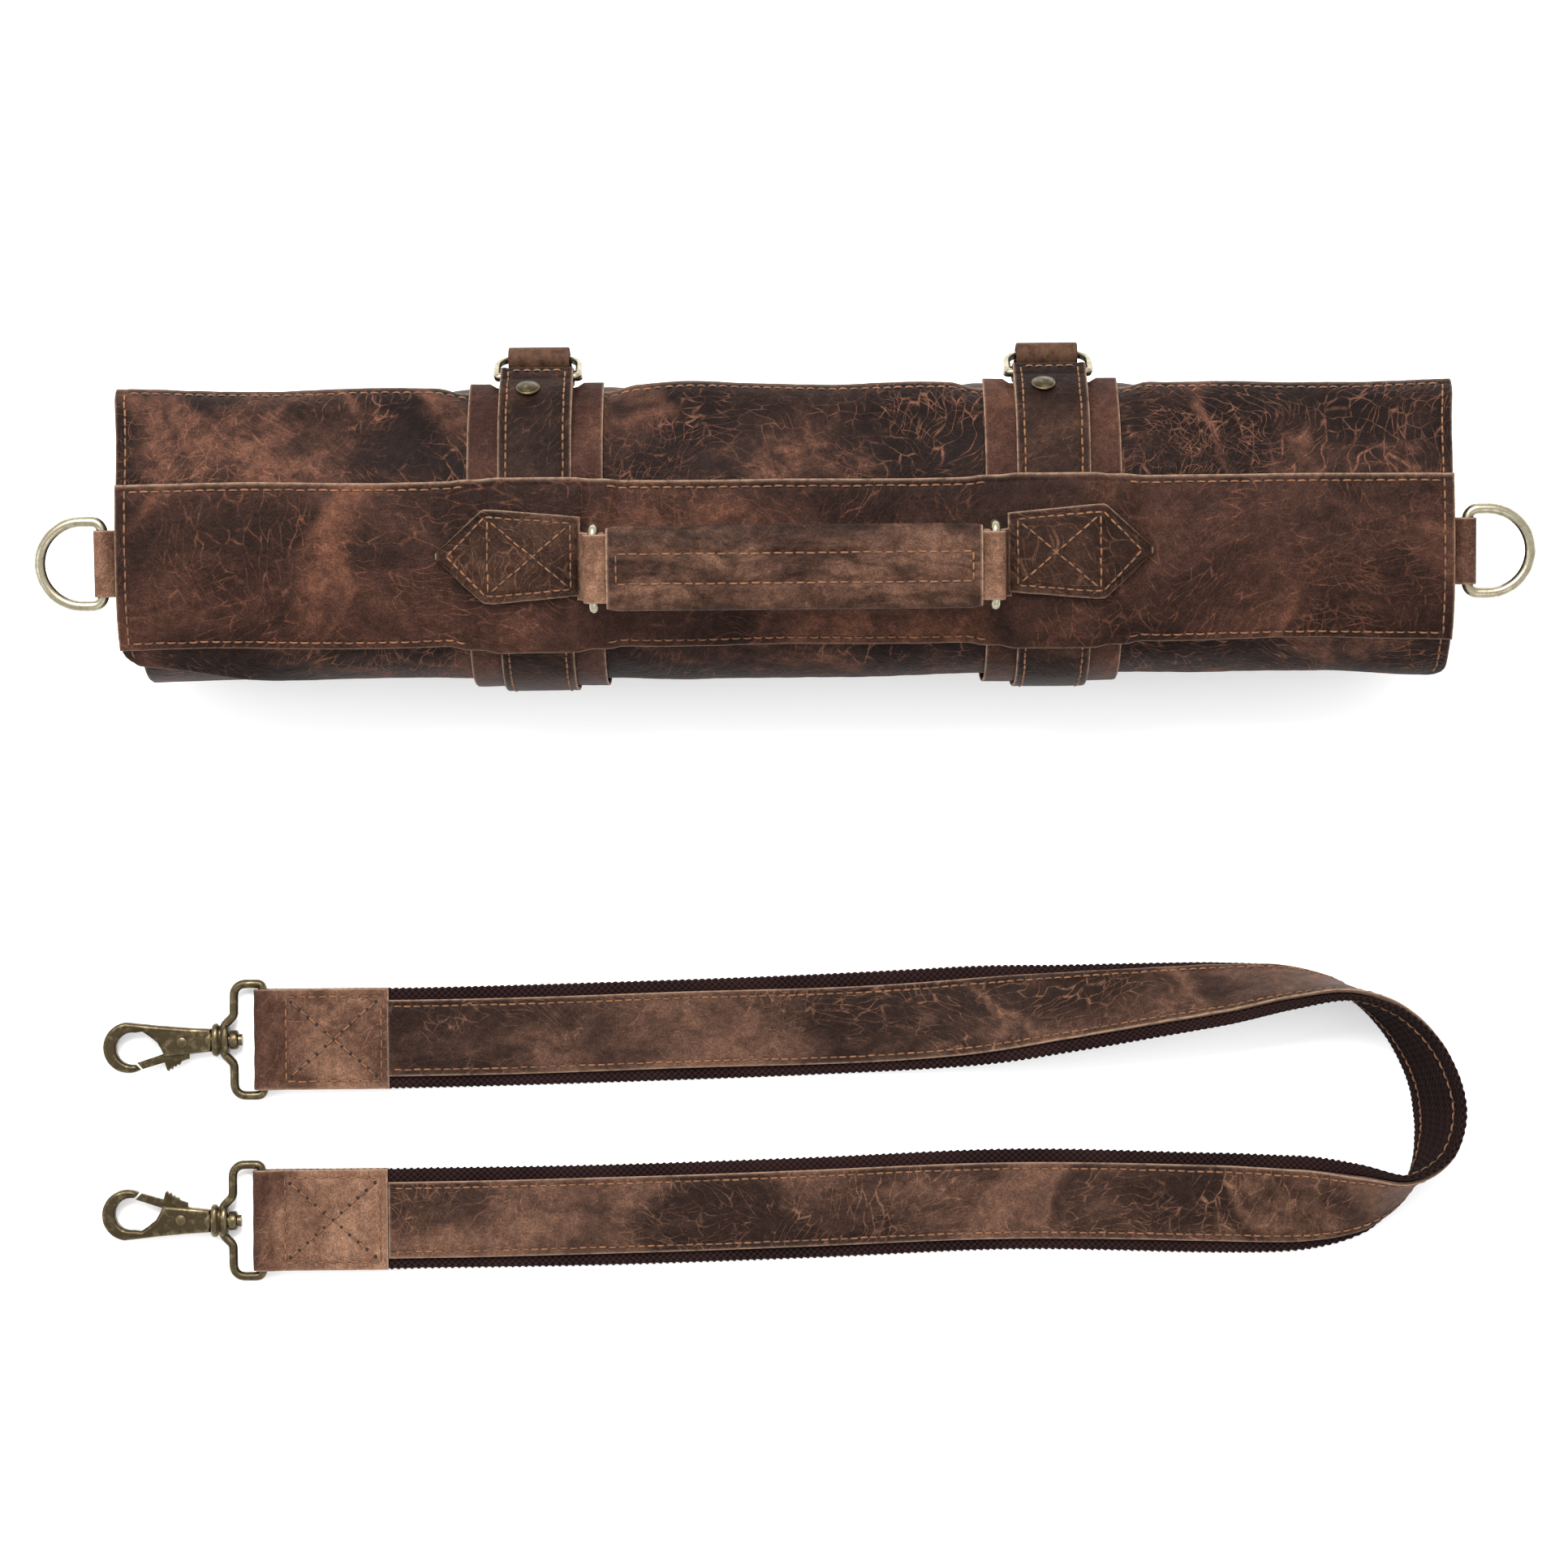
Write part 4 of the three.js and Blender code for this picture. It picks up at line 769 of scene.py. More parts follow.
def turned(profile, sides=32):
    """Points and faces of a shape turned about Z. Its corners start and end on that axis."""
    points, faces = [], []
    turn = np.arange(sides) * math.tau / sides
    rows = []
    for radius, height in profile:
        rows.append(len(points))
        if radius < 1e-6:
            points.append((0.0, 0.0, height))
        else:
            points += [(radius * math.cos(a), radius * math.sin(a), height) for a in turn]
    for (r0, _), (r1, _), start, after in zip(profile[:-1], profile[1:], rows[:-1], rows[1:]):
        for k in range(sides):
            j = (k + 1) % sides
            if r0 < 1e-6:
                faces.append([start, after + k, after + j])
            elif r1 < 1e-6:
                faces.append([start + k, after, start + j])
            else:
                faces.append([start + k, after + k, after + j, start + j])
    return np.array(points), faces


def transformed(part, matrix):
    points, faces = part
    grid = np.array(matrix)
    return points @ grid[:3, :3].T + grid[:3, 3], faces


def placed(x, y, z, *turns):
    """A frame at a place, turned by (axis, degrees) pairs in order."""
    matrix = Matrix.Translation((x, y, z))
    for axis, degrees in turns:
        matrix = matrix @ Matrix.Rotation(math.radians(degrees), 4, axis)
    return matrix


def metal_piece(name, part, material, body, nodes, crease=None):
    piece = link_mesh(name, part[0], part[1], [material], body, nodes)
    outward(piece)
    if crease is not None:
        piece.data.set_sharp_from_angle(angle=math.radians(crease))
    return piece


# ---- cover, lining, pockets and inner flap ----
INNER_TURN_STARTS = -148.0
INNER_TURN_REACHED = -188.0
FREE_CORNER_ALONG = 8.0
FREE_CORNER_ROUND = 10.0


def spiral_step(degrees):
    return -TURN_PITCH * smoothstep(0.0, 1.0, (INNER_TURN_STARTS - degrees)
                                    / (INNER_TURN_STARTS - INNER_TURN_REACHED))


COVER, on_cover = wrap(FREE_EDGE, COVER_ENDS, spiral_step)


def free_edge_flare(x, t):
    """The cover's free edge springs outward a little, except where the closures hold it."""
    free = 1.0
    for centre in CLOSURE_X.values():
        free = free * smoothstep(22.0, 62.0, np.abs(x - centre))
    end = smoothstep(150.0, 232.0, np.abs(x))
    return free * (0.5 + 1.5 * end) * (1 - smoothstep(0.0, 26.0, t)) ** 1.5


PANEL_EDGE = COVER.at_angle(24.0)
SEAM_INSET = 3.6


def cover_reach(t):
    """The cover's half length: round at the free edge's corners, widest at the panel's edge."""
    run = np.clip(1 - t / FREE_CORNER_ROUND, 0.0, 1.0)
    widened = 2.6 * np.exp(-(((t - PANEL_EDGE) / 17.0) ** 2))
    inner = 5.0 * smoothstep(COVER.at_angle(-60.0), COVER.at_angle(-150.0), t)
    return HALF_LENGTH - FREE_CORNER_ALONG * (1 - np.sqrt(1 - run**2)) + widened - inner


def cut_back(x, t):
    """The free edge is cut on a slant near the left end, which shows the turn under it."""
    slant = 15.0 * (1 - smoothstep(0.0, 78.0, x + HALF_LENGTH))
    return slant * (1 - smoothstep(0.0, 62.0, t))


def slack(x, t):
    """Near the left end the next turn steps inward later, and shows beyond the free edge."""
    degrees = COVER.angle(t)
    late = -TURN_PITCH * smoothstep(0.0, 1.0, (-172.0 - degrees) / 38.0)
    return (1 - smoothstep(0.0, 95.0, x + HALF_LENGTH)) * (late - spiral_step(degrees))


def panel_lift(x, t):
    """The panel's far edge stands off the turn below it, except under the closures."""
    free = 1.0
    for centre in CLOSURE_X.values():
        free = free * smoothstep(24.6, 36.0, np.abs(x - centre))
    rise = 2.3 * np.exp(-(np.clip(PANEL_EDGE - t, 0.0, None) / 13.0) ** 2)
    beyond = smoothstep(PANEL_EDGE, PANEL_EDGE + 0.45, t)
    return free * (rise * (1 - beyond)
                   - 1.3 * beyond * (1 - smoothstep(10.0, 30.0, t - PANEL_EDGE)))


def build_cover():
    top_seam = PANEL_EDGE - SEAM_INSET
    s = lines(-HALF_LENGTH, HALF_LENGTH, 2.6, (SEAM_INSET - HALF_LENGTH, HALF_LENGTH - SEAM_INSET))
    t = lines(0.0, COVER.length, 2.6, (top_seam,))
    t = np.unique(np.concatenate([t, PANEL_EDGE + np.array([-0.5, -0.15, 0.0, 0.2, 0.45])]))

    def trim(grid_s, grid_t):
        x = grid_s * cover_reach(grid_t) / HALF_LENGTH
        return x, grid_t + cut_back(x, grid_t)

    def relief(flat_s, flat_t):
        creases = ripple(flat_s, flat_t, 5, 22.0, 0.13) + ripple(flat_s, flat_t, 8, 9.0, 0.05)
        outer = flat_t < COVER.at_angle(-140.0)
        from_edge = flat_t - cut_back(flat_s, flat_t)
        groove = seam_groove(flat_t, (top_seam,)) + (flat_t < PANEL_EDGE) * (
            from_edge > SEAM_INSET) * seam_groove(cover_reach(flat_t) - np.abs(flat_s),
                                                  (SEAM_INSET,))
        lift = panel_lift(flat_s, flat_t) + free_edge_flare(flat_s, flat_t)
        return outer * (creases - groove + lift)

    # Here only the panel's far edge, rubbed raw.
    def wear_and_highlight(flat_s, flat_t):
        return 0.9 * np.exp(-(((flat_t - PANEL_EDGE) / 0.4) ** 2))

    def settled(flat_s, flat_t, height):
        """The under side follows the upper side, so that the sheet keeps its thickness."""
        outer = flat_t < COVER.at_angle(-140.0)
        lift = np.maximum(panel_lift(flat_s, flat_t), 0.0) + free_edge_flare(flat_s, flat_t)
        raised = outer * lift * (height < -COVER_THICKNESS / 2) + slack(flat_s, flat_t)
        return on_cover(flat_s, flat_t, height + raised)

    sheet("outer_cover_leather", settled, s, t, COVER_THICKNESS, LEATHER["cover"], "case",
          ("outer_cover",), low=-COVER_THICKNESS, rounding=0.8, trim=trim,
          relief=relief, wear_and_highlight=wear_and_highlight)

    climb = np.linspace(SEAM_INSET + 1.6, top_seam, 40)
    right = np.stack([np.minimum(cover_reach(climb), HALF_LENGTH + 3.0) - SEAM_INSET,
                      climb], axis=1)
    reach = right[-1, 0] - 1.5
    top_row = spaced([(-reach, top_seam), (reach, top_seam)], STITCH_PITCH)
    left = right * (-1, 1)
    left[:, 1] += cut_back(left[:, 0], left[:, 1])
    sew("cover_stitching", [spaced_along(right, STITCH_PITCH), spaced_along(left, STITCH_PITCH),
                            top_row],
        on_cover, relief, "case", seed=2)


def build_linings():
    # node, piece, material, slot, depth, thickness, degrees in at each end, length
    layers = [
        ("canvas_lining", "canvas_lining_cloth", CANVAS, "canvas", 2.9, 0.8, 3.0, 2.0, 444.0),
        ("pocket_panel", "pocket_panel_leather", LEATHER["closure"], "closure_leather",
         4.0, 1.2, 8.0, 6.0, 430.0),
        ("inner_flap", "inner_flap_leather", LEATHER["cover"], "cover_leather",
         5.5, 1.2, FREE_EDGE + 170.0, 12.0, 416.0),
    ]

    def under_cover(grid_s, grid_t):
        return grid_s, grid_t + cut_back(grid_s, grid_t)

    for node, name, material, slot, depth, thickness, start_in, end_in, length in layers:
        profile, place = wrap(FREE_EDGE - start_in, COVER_ENDS + end_in, spiral_step)
        s = lines(-length / 2, length / 2, 7.0)
        t = lines(0.0, profile.length, 3.0)
        piece = sheet(name, place, s, t, thickness, material, "case", (node,),
                      low=-depth - thickness, rounding=0.3,
                      trim=None if node == "inner_flap" else under_cover)


build_cover()
build_linings()


# ---- the band along the top, and what it bridges ----
def build_band():
    profile, place = wrap(BAND_UPPER, BAND_LOWER, 0.0)
    seams = (2.6, profile.length - 2.8)
    end_seam = HALF_LENGTH - SEAM_INSET
    edges = [c + d for c in CLOSURE_X.values() for d in (-28, -17, 17, 28)]
    s = lines(-HALF_LENGTH, HALF_LENGTH, 2.4, [*edges, -end_seam, end_seam])
    t = lines(0.0, profile.length, 2.2, seams)

    def lifted(flat_s, flat_t, height):
        return place(flat_s, flat_t, height + band_lift(flat_s))

    def relief(flat_s, flat_t):
        creases = ripple(flat_s, flat_t, 21, 26.0, 0.12) + ripple(flat_s, flat_t, 23, 10.0, 0.05)
        curl = (0.5 * np.exp(-((flat_t / 2.4) ** 2))
                * (0.6 + ripple(flat_s, 0 * flat_t, 25, 60.0, 0.3)))
        return (creases + curl - seam_groove(flat_t, seams)
                - seam_groove(np.abs(flat_s), (end_seam,)))

    # The band's upper edge gets a lighter strip about a millimetre wide: a rubbed raw edge, and
    # partly a painted highlight along the curled edge.
    sheet("band_leather", lifted, s, t, BAND_THICKNESS, LEATHER["band"], "case",
          ("handle_band",), low=CLEARANCE, rounding=0.6, relief=relief,
          wear_and_highlight=lambda flat_s, flat_t: 0.6 * np.exp(-((flat_t / 0.9) ** 2)))
    rows = [spaced([(end, seams[0] - 1.2), (end, seams[1] + 1.2)], STITCH_PITCH)
            for end in (-end_seam, end_seam)]
    stops = [-end_seam + 1.0, -113.0, -63.0, 71.0, 121.0, end_seam - 1.0]
    for low, high in zip(stops[::2], stops[1::2]):
        rows += [spaced([(low, seam), (high, seam)], STITCH_PITCH) for seam in seams]
    sew("band_stitching", rows, lifted,
        lambda flat_s, flat_t: CLEARANCE + BAND_THICKNESS + relief(flat_s, flat_t),
        "case", seed=3)


def build_backings():
    for side, centre in CLOSURE_X.items():
        profile, place = wrap(22.0, 250.0, 0.0)
        half = BACKING_WIDTH / 2
        s = lines(centre - half, centre + half, 2.4)
        t = lines(0.0, profile.length, 2.4)
        seed = 31 if side == "left" else 37

        def curled(flat_s, flat_t, height, place=place, centre=centre):
            beside = smoothstep(13.4, 16.5, np.abs(flat_s - centre))
            return place(flat_s, flat_t, height + 1.9 * beside * np.exp(-((flat_t / 9.0) ** 2)))

        def relief(flat_s, flat_t, seed=seed):
            return ripple(flat_s, flat_t, seed, 18.0, 0.1)

        sheet(f"closure_backing_{side}_leather", curled, s, t, BACKING_THICKNESS,
              LEATHER["closure"],
              "case", (f"closure_backing_{side}",), low=CLEARANCE, rounding=0.4,
              relief=relief, shift=(3.0 * seed, 0.0))


build_band()
build_backings()


# ---- closures: strap folded round two rings, the tail threaded through them, and a rivet ----
STRAP_MIDDLE = STRAP_STACK - STRAP_THICKNESS / 2
FOLD_RADIUS = RING_WIRE + 1.5 * CLEARANCE + STRAP_THICKNESS / 2
TAIL_CORNERS = [
    (54.1, 34), (54.6, 41), (55.4, 47), (57.2, 52.6), (59.9, 56.6), (63, 57.9),
    (65.7, 56.8), (66.7, 53.8), (65.6, 49), (62.8, 41), (60.2, 33), (58.6, 25)]


def smooth_line(corners, pieces=14):
    """A smooth curve through given corners, as many close points."""
    corners = np.asarray(corners, float)
    padded = np.concatenate([[2 * corners[0] - corners[1]], corners,
                             [2 * corners[-1] - corners[-2]]])
    found = []
    for i in range(1, len(padded) - 2):
        p0, p1, p2, p3 = padded[i - 1:i + 3]
        for k in range(pieces):
            u = k / pieces
            found.append(0.5 * (2 * p1 + (p2 - p0) * u + (2 * p0 - 5 * p1 + 4 * p2 - p3) * u * u
                                + (3 * p1 - p0 - 3 * p2 + p3) * u**3))
    found.append(corners[-1])
    return np.array(found)


def closure_profile():
    leaf = [outline(STRAP_MIDDLE, degrees) for degrees in (52, 44, 36, 28)]
    inside = [(BAR_Y - FOLD_RADIUS, UPPER_BAR_Z)]
    fold = [(BAR_Y + FOLD_RADIUS * math.cos(math.pi * (1 + i / 6)),
             RING_BAR_HEIGHT + FOLD_RADIUS * math.sin(math.pi * (1 + i / 6))) for i in range(7)]
    outside = [(BAR_Y + FOLD_RADIUS, UPPER_BAR_Z), (BAR_Y + FOLD_RADIUS - 0.4, UPPER_BAR_Z + 2.2)]
    over = [outline(offset, degrees) for degrees, offset in
            ((26, 6), (32, 5.4), (38, 4.9), (44, 4.5), (52, 4.5), (60, 3.9), (67, 3))]
    around = [outline(STRAP_MIDDLE, degrees) for degrees in range(74, 290, 4)]
    corners = [*leaf, *inside, *fold, *outside, *over, *around]
    return Profile(smooth_line(corners, 6), -1.0)


def build_closure(side, centre):
    profile = closure_profile()
    half = CLOSURE_STRAP_WIDTH / 2
    folded = float(profile.along[np.argmax(profile.points[:, 0])])
    seams = (centre - half + 2.9, centre + half - 2.9)
    seed = 41 if side == "left" else 47

    def relief(flat_s, flat_t):
        crossing = seam_groove(flat_t, (folded + 6.0, folded + 10.5))
        return ripple(flat_s, flat_t, seed, 14.0, 0.07) - seam_groove(flat_s, seams) - crossing

    s = lines(centre - half, centre + half, 2.0, seams)
    t = lines(0.0, profile.length, 1.7, (folded + 6.0, folded + 10.5))
    low = -STRAP_THICKNESS / 2
    sheet(f"closure_strap_{side}_leather", profile.place, s, t, STRAP_THICKNESS, LEATHER["dark"],
          "case", (f"closure_strap_{side}",), low=low, rounding=0.45,
          relief=relief, shift=(7.0 * seed, 0.0))
    clear = profile.points[:, 1] > 8.0
    last = float(profile.along[clear].max())
    rows = [spaced([(seam, folded + 6.0), (seam, last)], 3.4) for seam in seams]
    rows.append(spaced([(seams[0] + 1.2, folded + 6.0), (seams[1] - 1.2, folded + 6.0)], 3.4))
    sew(f"closure_stitching_{side}", rows, profile.place,
        lambda flat_s, flat_t: -low + relief(flat_s, flat_t), "case", seed=seed)

    start = [outline(CLEARANCE + 0.7, degrees) for degrees in range(264, 340, 5)]
    tail = Profile(smooth_line([*start, *[(ROLL_Y + y, z) for y, z in TAIL_CORNERS]], 8), -1.0)
    s = lines(centre - 11.0, centre + 11.0, 1.0)
    t = lines(0.0, tail.length, 1.4)
    arch = tail.length - 33.0

    def pleats(flat_s, flat_t):
        bent = np.exp(-(((flat_t - arch) / 17.0) ** 2))
        folds = ripple(flat_s + 0.4 * flat_t, 0.2 * flat_t, seed + 3, 5.0, 0.75)
        return bent * np.minimum(folds, 0.05) - np.abs(ripple(flat_s, flat_t, seed + 4, 11.0, 0.08))

    sheet(f"closure_tail_{side}_leather", tail.place, s, t, 1.4, LEATHER["red"], "case",
          (f"closure_tail_{side}",), low=-0.7, rounding=0.4, relief=pleats,
          shift=(5.0 * seed, 0.0))

    for level, bar_z, droop in (("upper", UPPER_BAR_Z, 58), ("lower", RING_BAR_HEIGHT, 78)):
        loop = ring_outline(32.0 - 2 * RING_WIRE, 14.0, 1.6, 6.0, 0.6)
        path = np.concatenate([loop, np.zeros((len(loop), 1))], axis=1)
        ring = transformed(tube(path, RING_WIRE, 16), placed(centre, BAR_Y, bar_z, ("X", -droop)))
        name = f"closure_ring_{side}_{level}"
        metal_piece(name + "_wire", ring, PALE_BRASS, name, (name,))


RIVET_OFF = -2.7


def build_rivet(side, centre):
    """A shallow domed cap with a turned rim, set square on the strap."""
    here, beside = outline(6.15, 36.0), outline(6.15, 34.0)
    lean = math.degrees(math.atan2(here[1] - beside[1], here[0] - beside[0])) - 180.0
    dome = [(0.0, 1.5), (1.0, 1.47), (2.0, 1.34), (2.9, 1.08), (3.5, 0.78), (3.75, 0.62),
            (3.95, 0.66), (4.15, 0.58), (4.3, 0.36), (4.3, 0.08), (4.1, 0.0), (0.8, 0.0),
            (0.8, -3.6), (0.0, -3.6)]
    part = transformed(turned(dome[::-1]),
                       placed(centre + RIVET_OFF, here[0], here[1], ("X", lean)))
    metal_piece(f"closure_rivet_{side}_cap", part, OLD_BRASS, "case",
                (f"closure_rivet_{side}",), crease=50)


for closure_side, closure_centre in CLOSURE_X.items():
    build_closure(closure_side, closure_centre)
    build_rivet(closure_side, closure_centre)


# ---- carry handle ----
HANDLE_FRAME = placed(HANDLE_X, HANDLE_Y, HANDLE_SEAT_Z, ("X", HANDLE_TILT))
LOOP_MIDDLE = HANDLE_RING_WIRE + 1.5 * CLEARANCE + 0.8
UPPER_BAR_HEIGHT = HANDLE_BAR_HEIGHT + HANDLE_LINK


def in_frame(matrix, place):
    """The same place function, seen from inside a turned frame."""
    grid = np.array(matrix)

    def moved(s, t, height):
        return place(s, t, height) @ grid[:3, :3].T + grid[:3, 3]

    return moved


def cross_strap(corners, outward_side, pieces=8):
    """A leaf of leather whose line runs in X and Z and whose width runs along Y."""
    line = Profile(smooth_line(corners, pieces), outward_side)

    def place(s, t, height):
        points = line.place(s, t, height)
        return points[..., [1, 0, 2]]

    return line, place


PATCH_HEIGHT = 6.0
PATCH_Y = -10.4
PATCH_THICKNESS = 2.0
PATCH_NEAR, PATCH_WIDEST, PATCH_TIP = 5.0, 39.5, 56.2
PATCH_HALF_WIDTH = 16.6
PATCH_SEAM_INSET = 2.8
PATCH_SEAMS = (8.4, 37.6)


def build_patch(side, direction):
    profile, on_roll = wrap(60.0, 140.0, PATCH_HEIGHT)
    middle = float(np.interp(-(ROLL_Y + PATCH_Y), -profile.points[:, 0], profile.along))

    def place(s, t, height):
        x = HANDLE_X + direction * (HANDLE_BAR_X + s)
        return on_roll(x, middle + t, height + band_lift(x) - PATCH_HEIGHT)

    seam_t = (-PATCH_HALF_WIDTH + PATCH_SEAM_INSET, PATCH_HALF_WIDTH - PATCH_SEAM_INSET)

    def width(s):
        return np.interp(s, (PATCH_NEAR, PATCH_WIDEST, PATCH_TIP),
                         (13.6, PATCH_HALF_WIDTH, 1.0)) / PATCH_HALF_WIDTH

    def trim(grid_s, grid_t):
        return grid_s, grid_t * width(grid_s)

    def relief(flat_s, flat_t):
        seed = 53 if direction < 0 else 59
        over = np.abs(flat_t) / width(flat_s)
        return (ripple(flat_s, flat_t, seed, 12.0, 0.1)
                - seam_groove(over, seam_t[1:]) - seam_groove(flat_s, PATCH_SEAMS, 0.25))

    s = lines(PATCH_NEAR, PATCH_TIP, 1.6, PATCH_SEAMS)
    t = lines(-PATCH_HALF_WIDTH, PATCH_HALF_WIDTH, 1.6, seam_t)
    low = CLEARANCE + BAND_THICKNESS + 0.25
    sheet(f"handle_patch_{side}_leather", place, s, t, PATCH_THICKNESS, LEATHER["patch"], "case",
          (f"handle_patch_{side}",), low=low, rounding=0.5, trim=trim,
          relief=relief, shift=(400.0 + 90 * direction, 0.0))
    rim = [(8.4, -11.2), (38.6, -13.7), (52.2, 0.0), (38.6, 13.7), (8.4, 11.2), (8.4, -11.2)]
    rows = [spaced(rim, 3.4), spaced([(37.6, -12.6), (37.6, 12.6)], 3.6),
            spaced([(9.6, -10.0), (36.6, 12.0)], 3.5), spaced([(9.6, 10.0), (36.6, -12.0)], 3.5)]
    sew(f"handle_patch_stitching_{side}", rows, place,
        lambda flat_s, flat_t: low + PATCH_THICKNESS + relief(flat_s, flat_t), "case",
        seed=61 + direction)

    arc = [(LOOP_MIDDLE * math.cos(math.radians(a)), HANDLE_BAR_HEIGHT + LOOP_MIDDLE
            * math.sin(math.radians(a))) for a in range(70, 276, 18)]
    corners = [(6.2, -0.9), (5.0, -0.3), (4.0, 2.2), (2.9, 5.0), *arc, (2.4, 1.2)]
    world = [(direction * (HANDLE_BAR_X + u), z) for u, z in corners]
    line, eye = cross_strap(world, -direction)
    s = lines(-LOOP_WIDTH / 2, LOOP_WIDTH / 2, 2.0)
    t = lines(0.0, line.length, 0.8)
    sheet(f"handle_patch_eye_{side}", in_frame(HANDLE_FRAME, eye), s, t, 1.6, LEATHER["tan"],
          "case", low=-0.8, rounding=0.4, shift=(210.0 * direction, 30.0))


def build_handle_ring(side, direction):
    loop = ring_outline(31.2 - 2 * HANDLE_RING_WIRE, HANDLE_LINK, 2.2, 2.2, 0.5)
    path = np.stack([np.full(len(loop), direction * HANDLE_BAR_X), loop[:, 0],
                     HANDLE_BAR_HEIGHT + loop[:, 1]], axis=1)
    name = f"handle_ring_{side}"
    metal_piece(name + "_wire", transformed(tube(path, HANDLE_RING_WIRE, 20), HANDLE_FRAME),
                PALE_BRASS, name, (name,))


def build_core(side, direction):
    arc = [(LOOP_MIDDLE * math.cos(math.radians(a)), UPPER_BAR_HEIGHT + LOOP_MIDDLE
            * math.sin(math.radians(a))) for a in range(-70, 71, 14)]
    corners = [(-14.0, UPPER_BAR_HEIGHT - 0.62), (-7.0, UPPER_BAR_HEIGHT - 0.7),
               (-3.4, UPPER_BAR_HEIGHT - 1.6), *arc, (-3.4, UPPER_BAR_HEIGHT + 1.6),
               (-7.0, UPPER_BAR_HEIGHT + 0.7), (-14.0, UPPER_BAR_HEIGHT + 0.62)]
    world = [(direction * (HANDLE_BAR_X + u), z) for u, z in corners]
    line, place = cross_strap(world, -direction)
    s = lines(-LOOP_WIDTH / 2, LOOP_WIDTH / 2, 2.0)
    t = lines(0.0, line.length, 0.8)
    nodes = ("handle_core",) if direction < 0 else ()
    sheet(f"handle_core_loop_{side}", in_frame(HANDLE_FRAME, place), s, t, 1.15, LEATHER["tan"],
          "handle", nodes, low=-0.57, rounding=0.3,
          shift=(150.0, 60.0 * direction))


GRIP_HALF_LENGTH = HANDLE_BAR_X - 4.6
GRIP_HALF_WIDTH = 29.7 / 2
GRIP_HALF_THICKNESS = 4.2
GRIP_ROW = 5.2


def grip_height(across):
    """Half the grip's thickness: padded at both margins, drawn in along the two stitch rows."""
    share = np.clip(np.abs(across) / GRIP_HALF_WIDTH, 0.0, 1.0)
    crown = GRIP_HALF_THICKNESS * (1 - share**4.2) ** 0.42
    return crown - 0.55 * np.exp(-(((np.abs(across) - GRIP_ROW) / 1.0) ** 2)) * (share < 0.9)


def build_grip():
    """The padded leather sleeve, open at its ends round the core."""
    turn = np.linspace(0, math.tau, 120, endpoint=False)
    bulge = np.sign(np.cos(turn)) * np.abs(np.cos(turn)) ** 0.75
    across = GRIP_HALF_WIDTH * bulge
    rise = np.sign(np.sin(turn)) * grip_height(across)
    x = lines(-GRIP_HALF_LENGTH, GRIP_HALF_LENGTH, 1.8)
    end = np.minimum(x + GRIP_HALF_LENGTH, GRIP_HALF_LENGTH - x)
    pinch = 1 - 0.05 * np.exp(-((end / 2.0) ** 2))
    grid_x, grid_a = np.meshgrid(x, across, indexing="ij")
    grid_z = rise[None, :] * pinch[:, None]
    wrinkle = ripple(grid_x, grid_a, 71, 16.0, 0.11) + ripple(grid_x, grid_a, 73, 6.0, 0.05)
    grid_z = grid_z + wrinkle * np.sign(grid_z)
    sides = len(turn)
    body = np.stack([grid_x, grid_a * pinch[:, None], UPPER_BAR_HEIGHT + grid_z], axis=-1)
    inner = []
    for row, sign in ((body[-1], 1.0), (body[0], -1.0)):
        for scale, depth in ((0.86, 0.0), (0.84, 3.0)):
            ring = row.copy()
            ring[:, 1] *= scale
            ring[:, 2] = UPPER_BAR_HEIGHT + (ring[:, 2] - UPPER_BAR_HEIGHT) * (scale - 0.2)
            ring[:, 0] -= sign * depth
            inner.append(ring)
    points = np.concatenate([inner[3], inner[2], body.reshape(-1, 3), inner[0], inner[1]])
    rows = len(x) + 4
    faces = [[sides * i + k, sides * i + (k + 1) % sides, sides * i + sides + (k + 1) % sides,
              sides * i + sides + k] for i in range(rows - 1) for k in range(sides)]
    faces.append(list(range(sides - 1, -1, -1)))
    faces.append([sides * (rows - 1) + k for k in range(sides)])
    points, faces = transformed((points, faces), HANDLE_FRAME)
    piece = link_mesh("handle_grip_leather", points, faces, [LEATHER["grip"]], "handle",
                      ("handle_grip",))
    outward(piece)
    local = np.linalg.inv(np.array(HANDLE_FRAME))
    rest = points @ local[:3, :3].T + local[:3, 3]
    side_way = rest[:, 1] + 40.0 * (rest[:, 2] < UPPER_BAR_HEIGHT)
    set_attribute(piece, "flat", np.stack([rest[:, 0], side_way, 0 * side_way], axis=1) * MM)
    rim = np.abs(rest[:, 0]) - GRIP_HALF_LENGTH
    worn = np.exp(-((rim / 0.5) ** 2))
    worn[: 2 * sides] = worn[-2 * sides:] = 1.0
    set_attribute(piece, "edge", worn)

    def place(s, t, height):
        z = UPPER_BAR_HEIGHT + grip_height(t) + ripple(s, t, 71, 16.0, 0.11) + ripple(
            s, t, 73, 6.0, 0.05) + height
        return np.stack(np.broadcast_arrays(s, t, z), axis=-1)

    reach = GRIP_HALF_LENGTH - 3.4
    rim_row = [(-reach, -GRIP_ROW), (reach, -GRIP_ROW), (reach, GRIP_ROW), (-reach, GRIP_ROW),
               (-reach, -GRIP_ROW)]
    sew("handle_grip_stitching", [spaced(rim_row, STITCH_PITCH)],
        in_frame(HANDLE_FRAME, place), 0.0,
        "handle", seed=75)


for handle_side, handle_direction in (("left", -1), ("right", 1)):
    build_patch(handle_side, handle_direction)
    build_handle_ring(handle_side, handle_direction)
    build_core(handle_side, handle_direction)
build_grip()


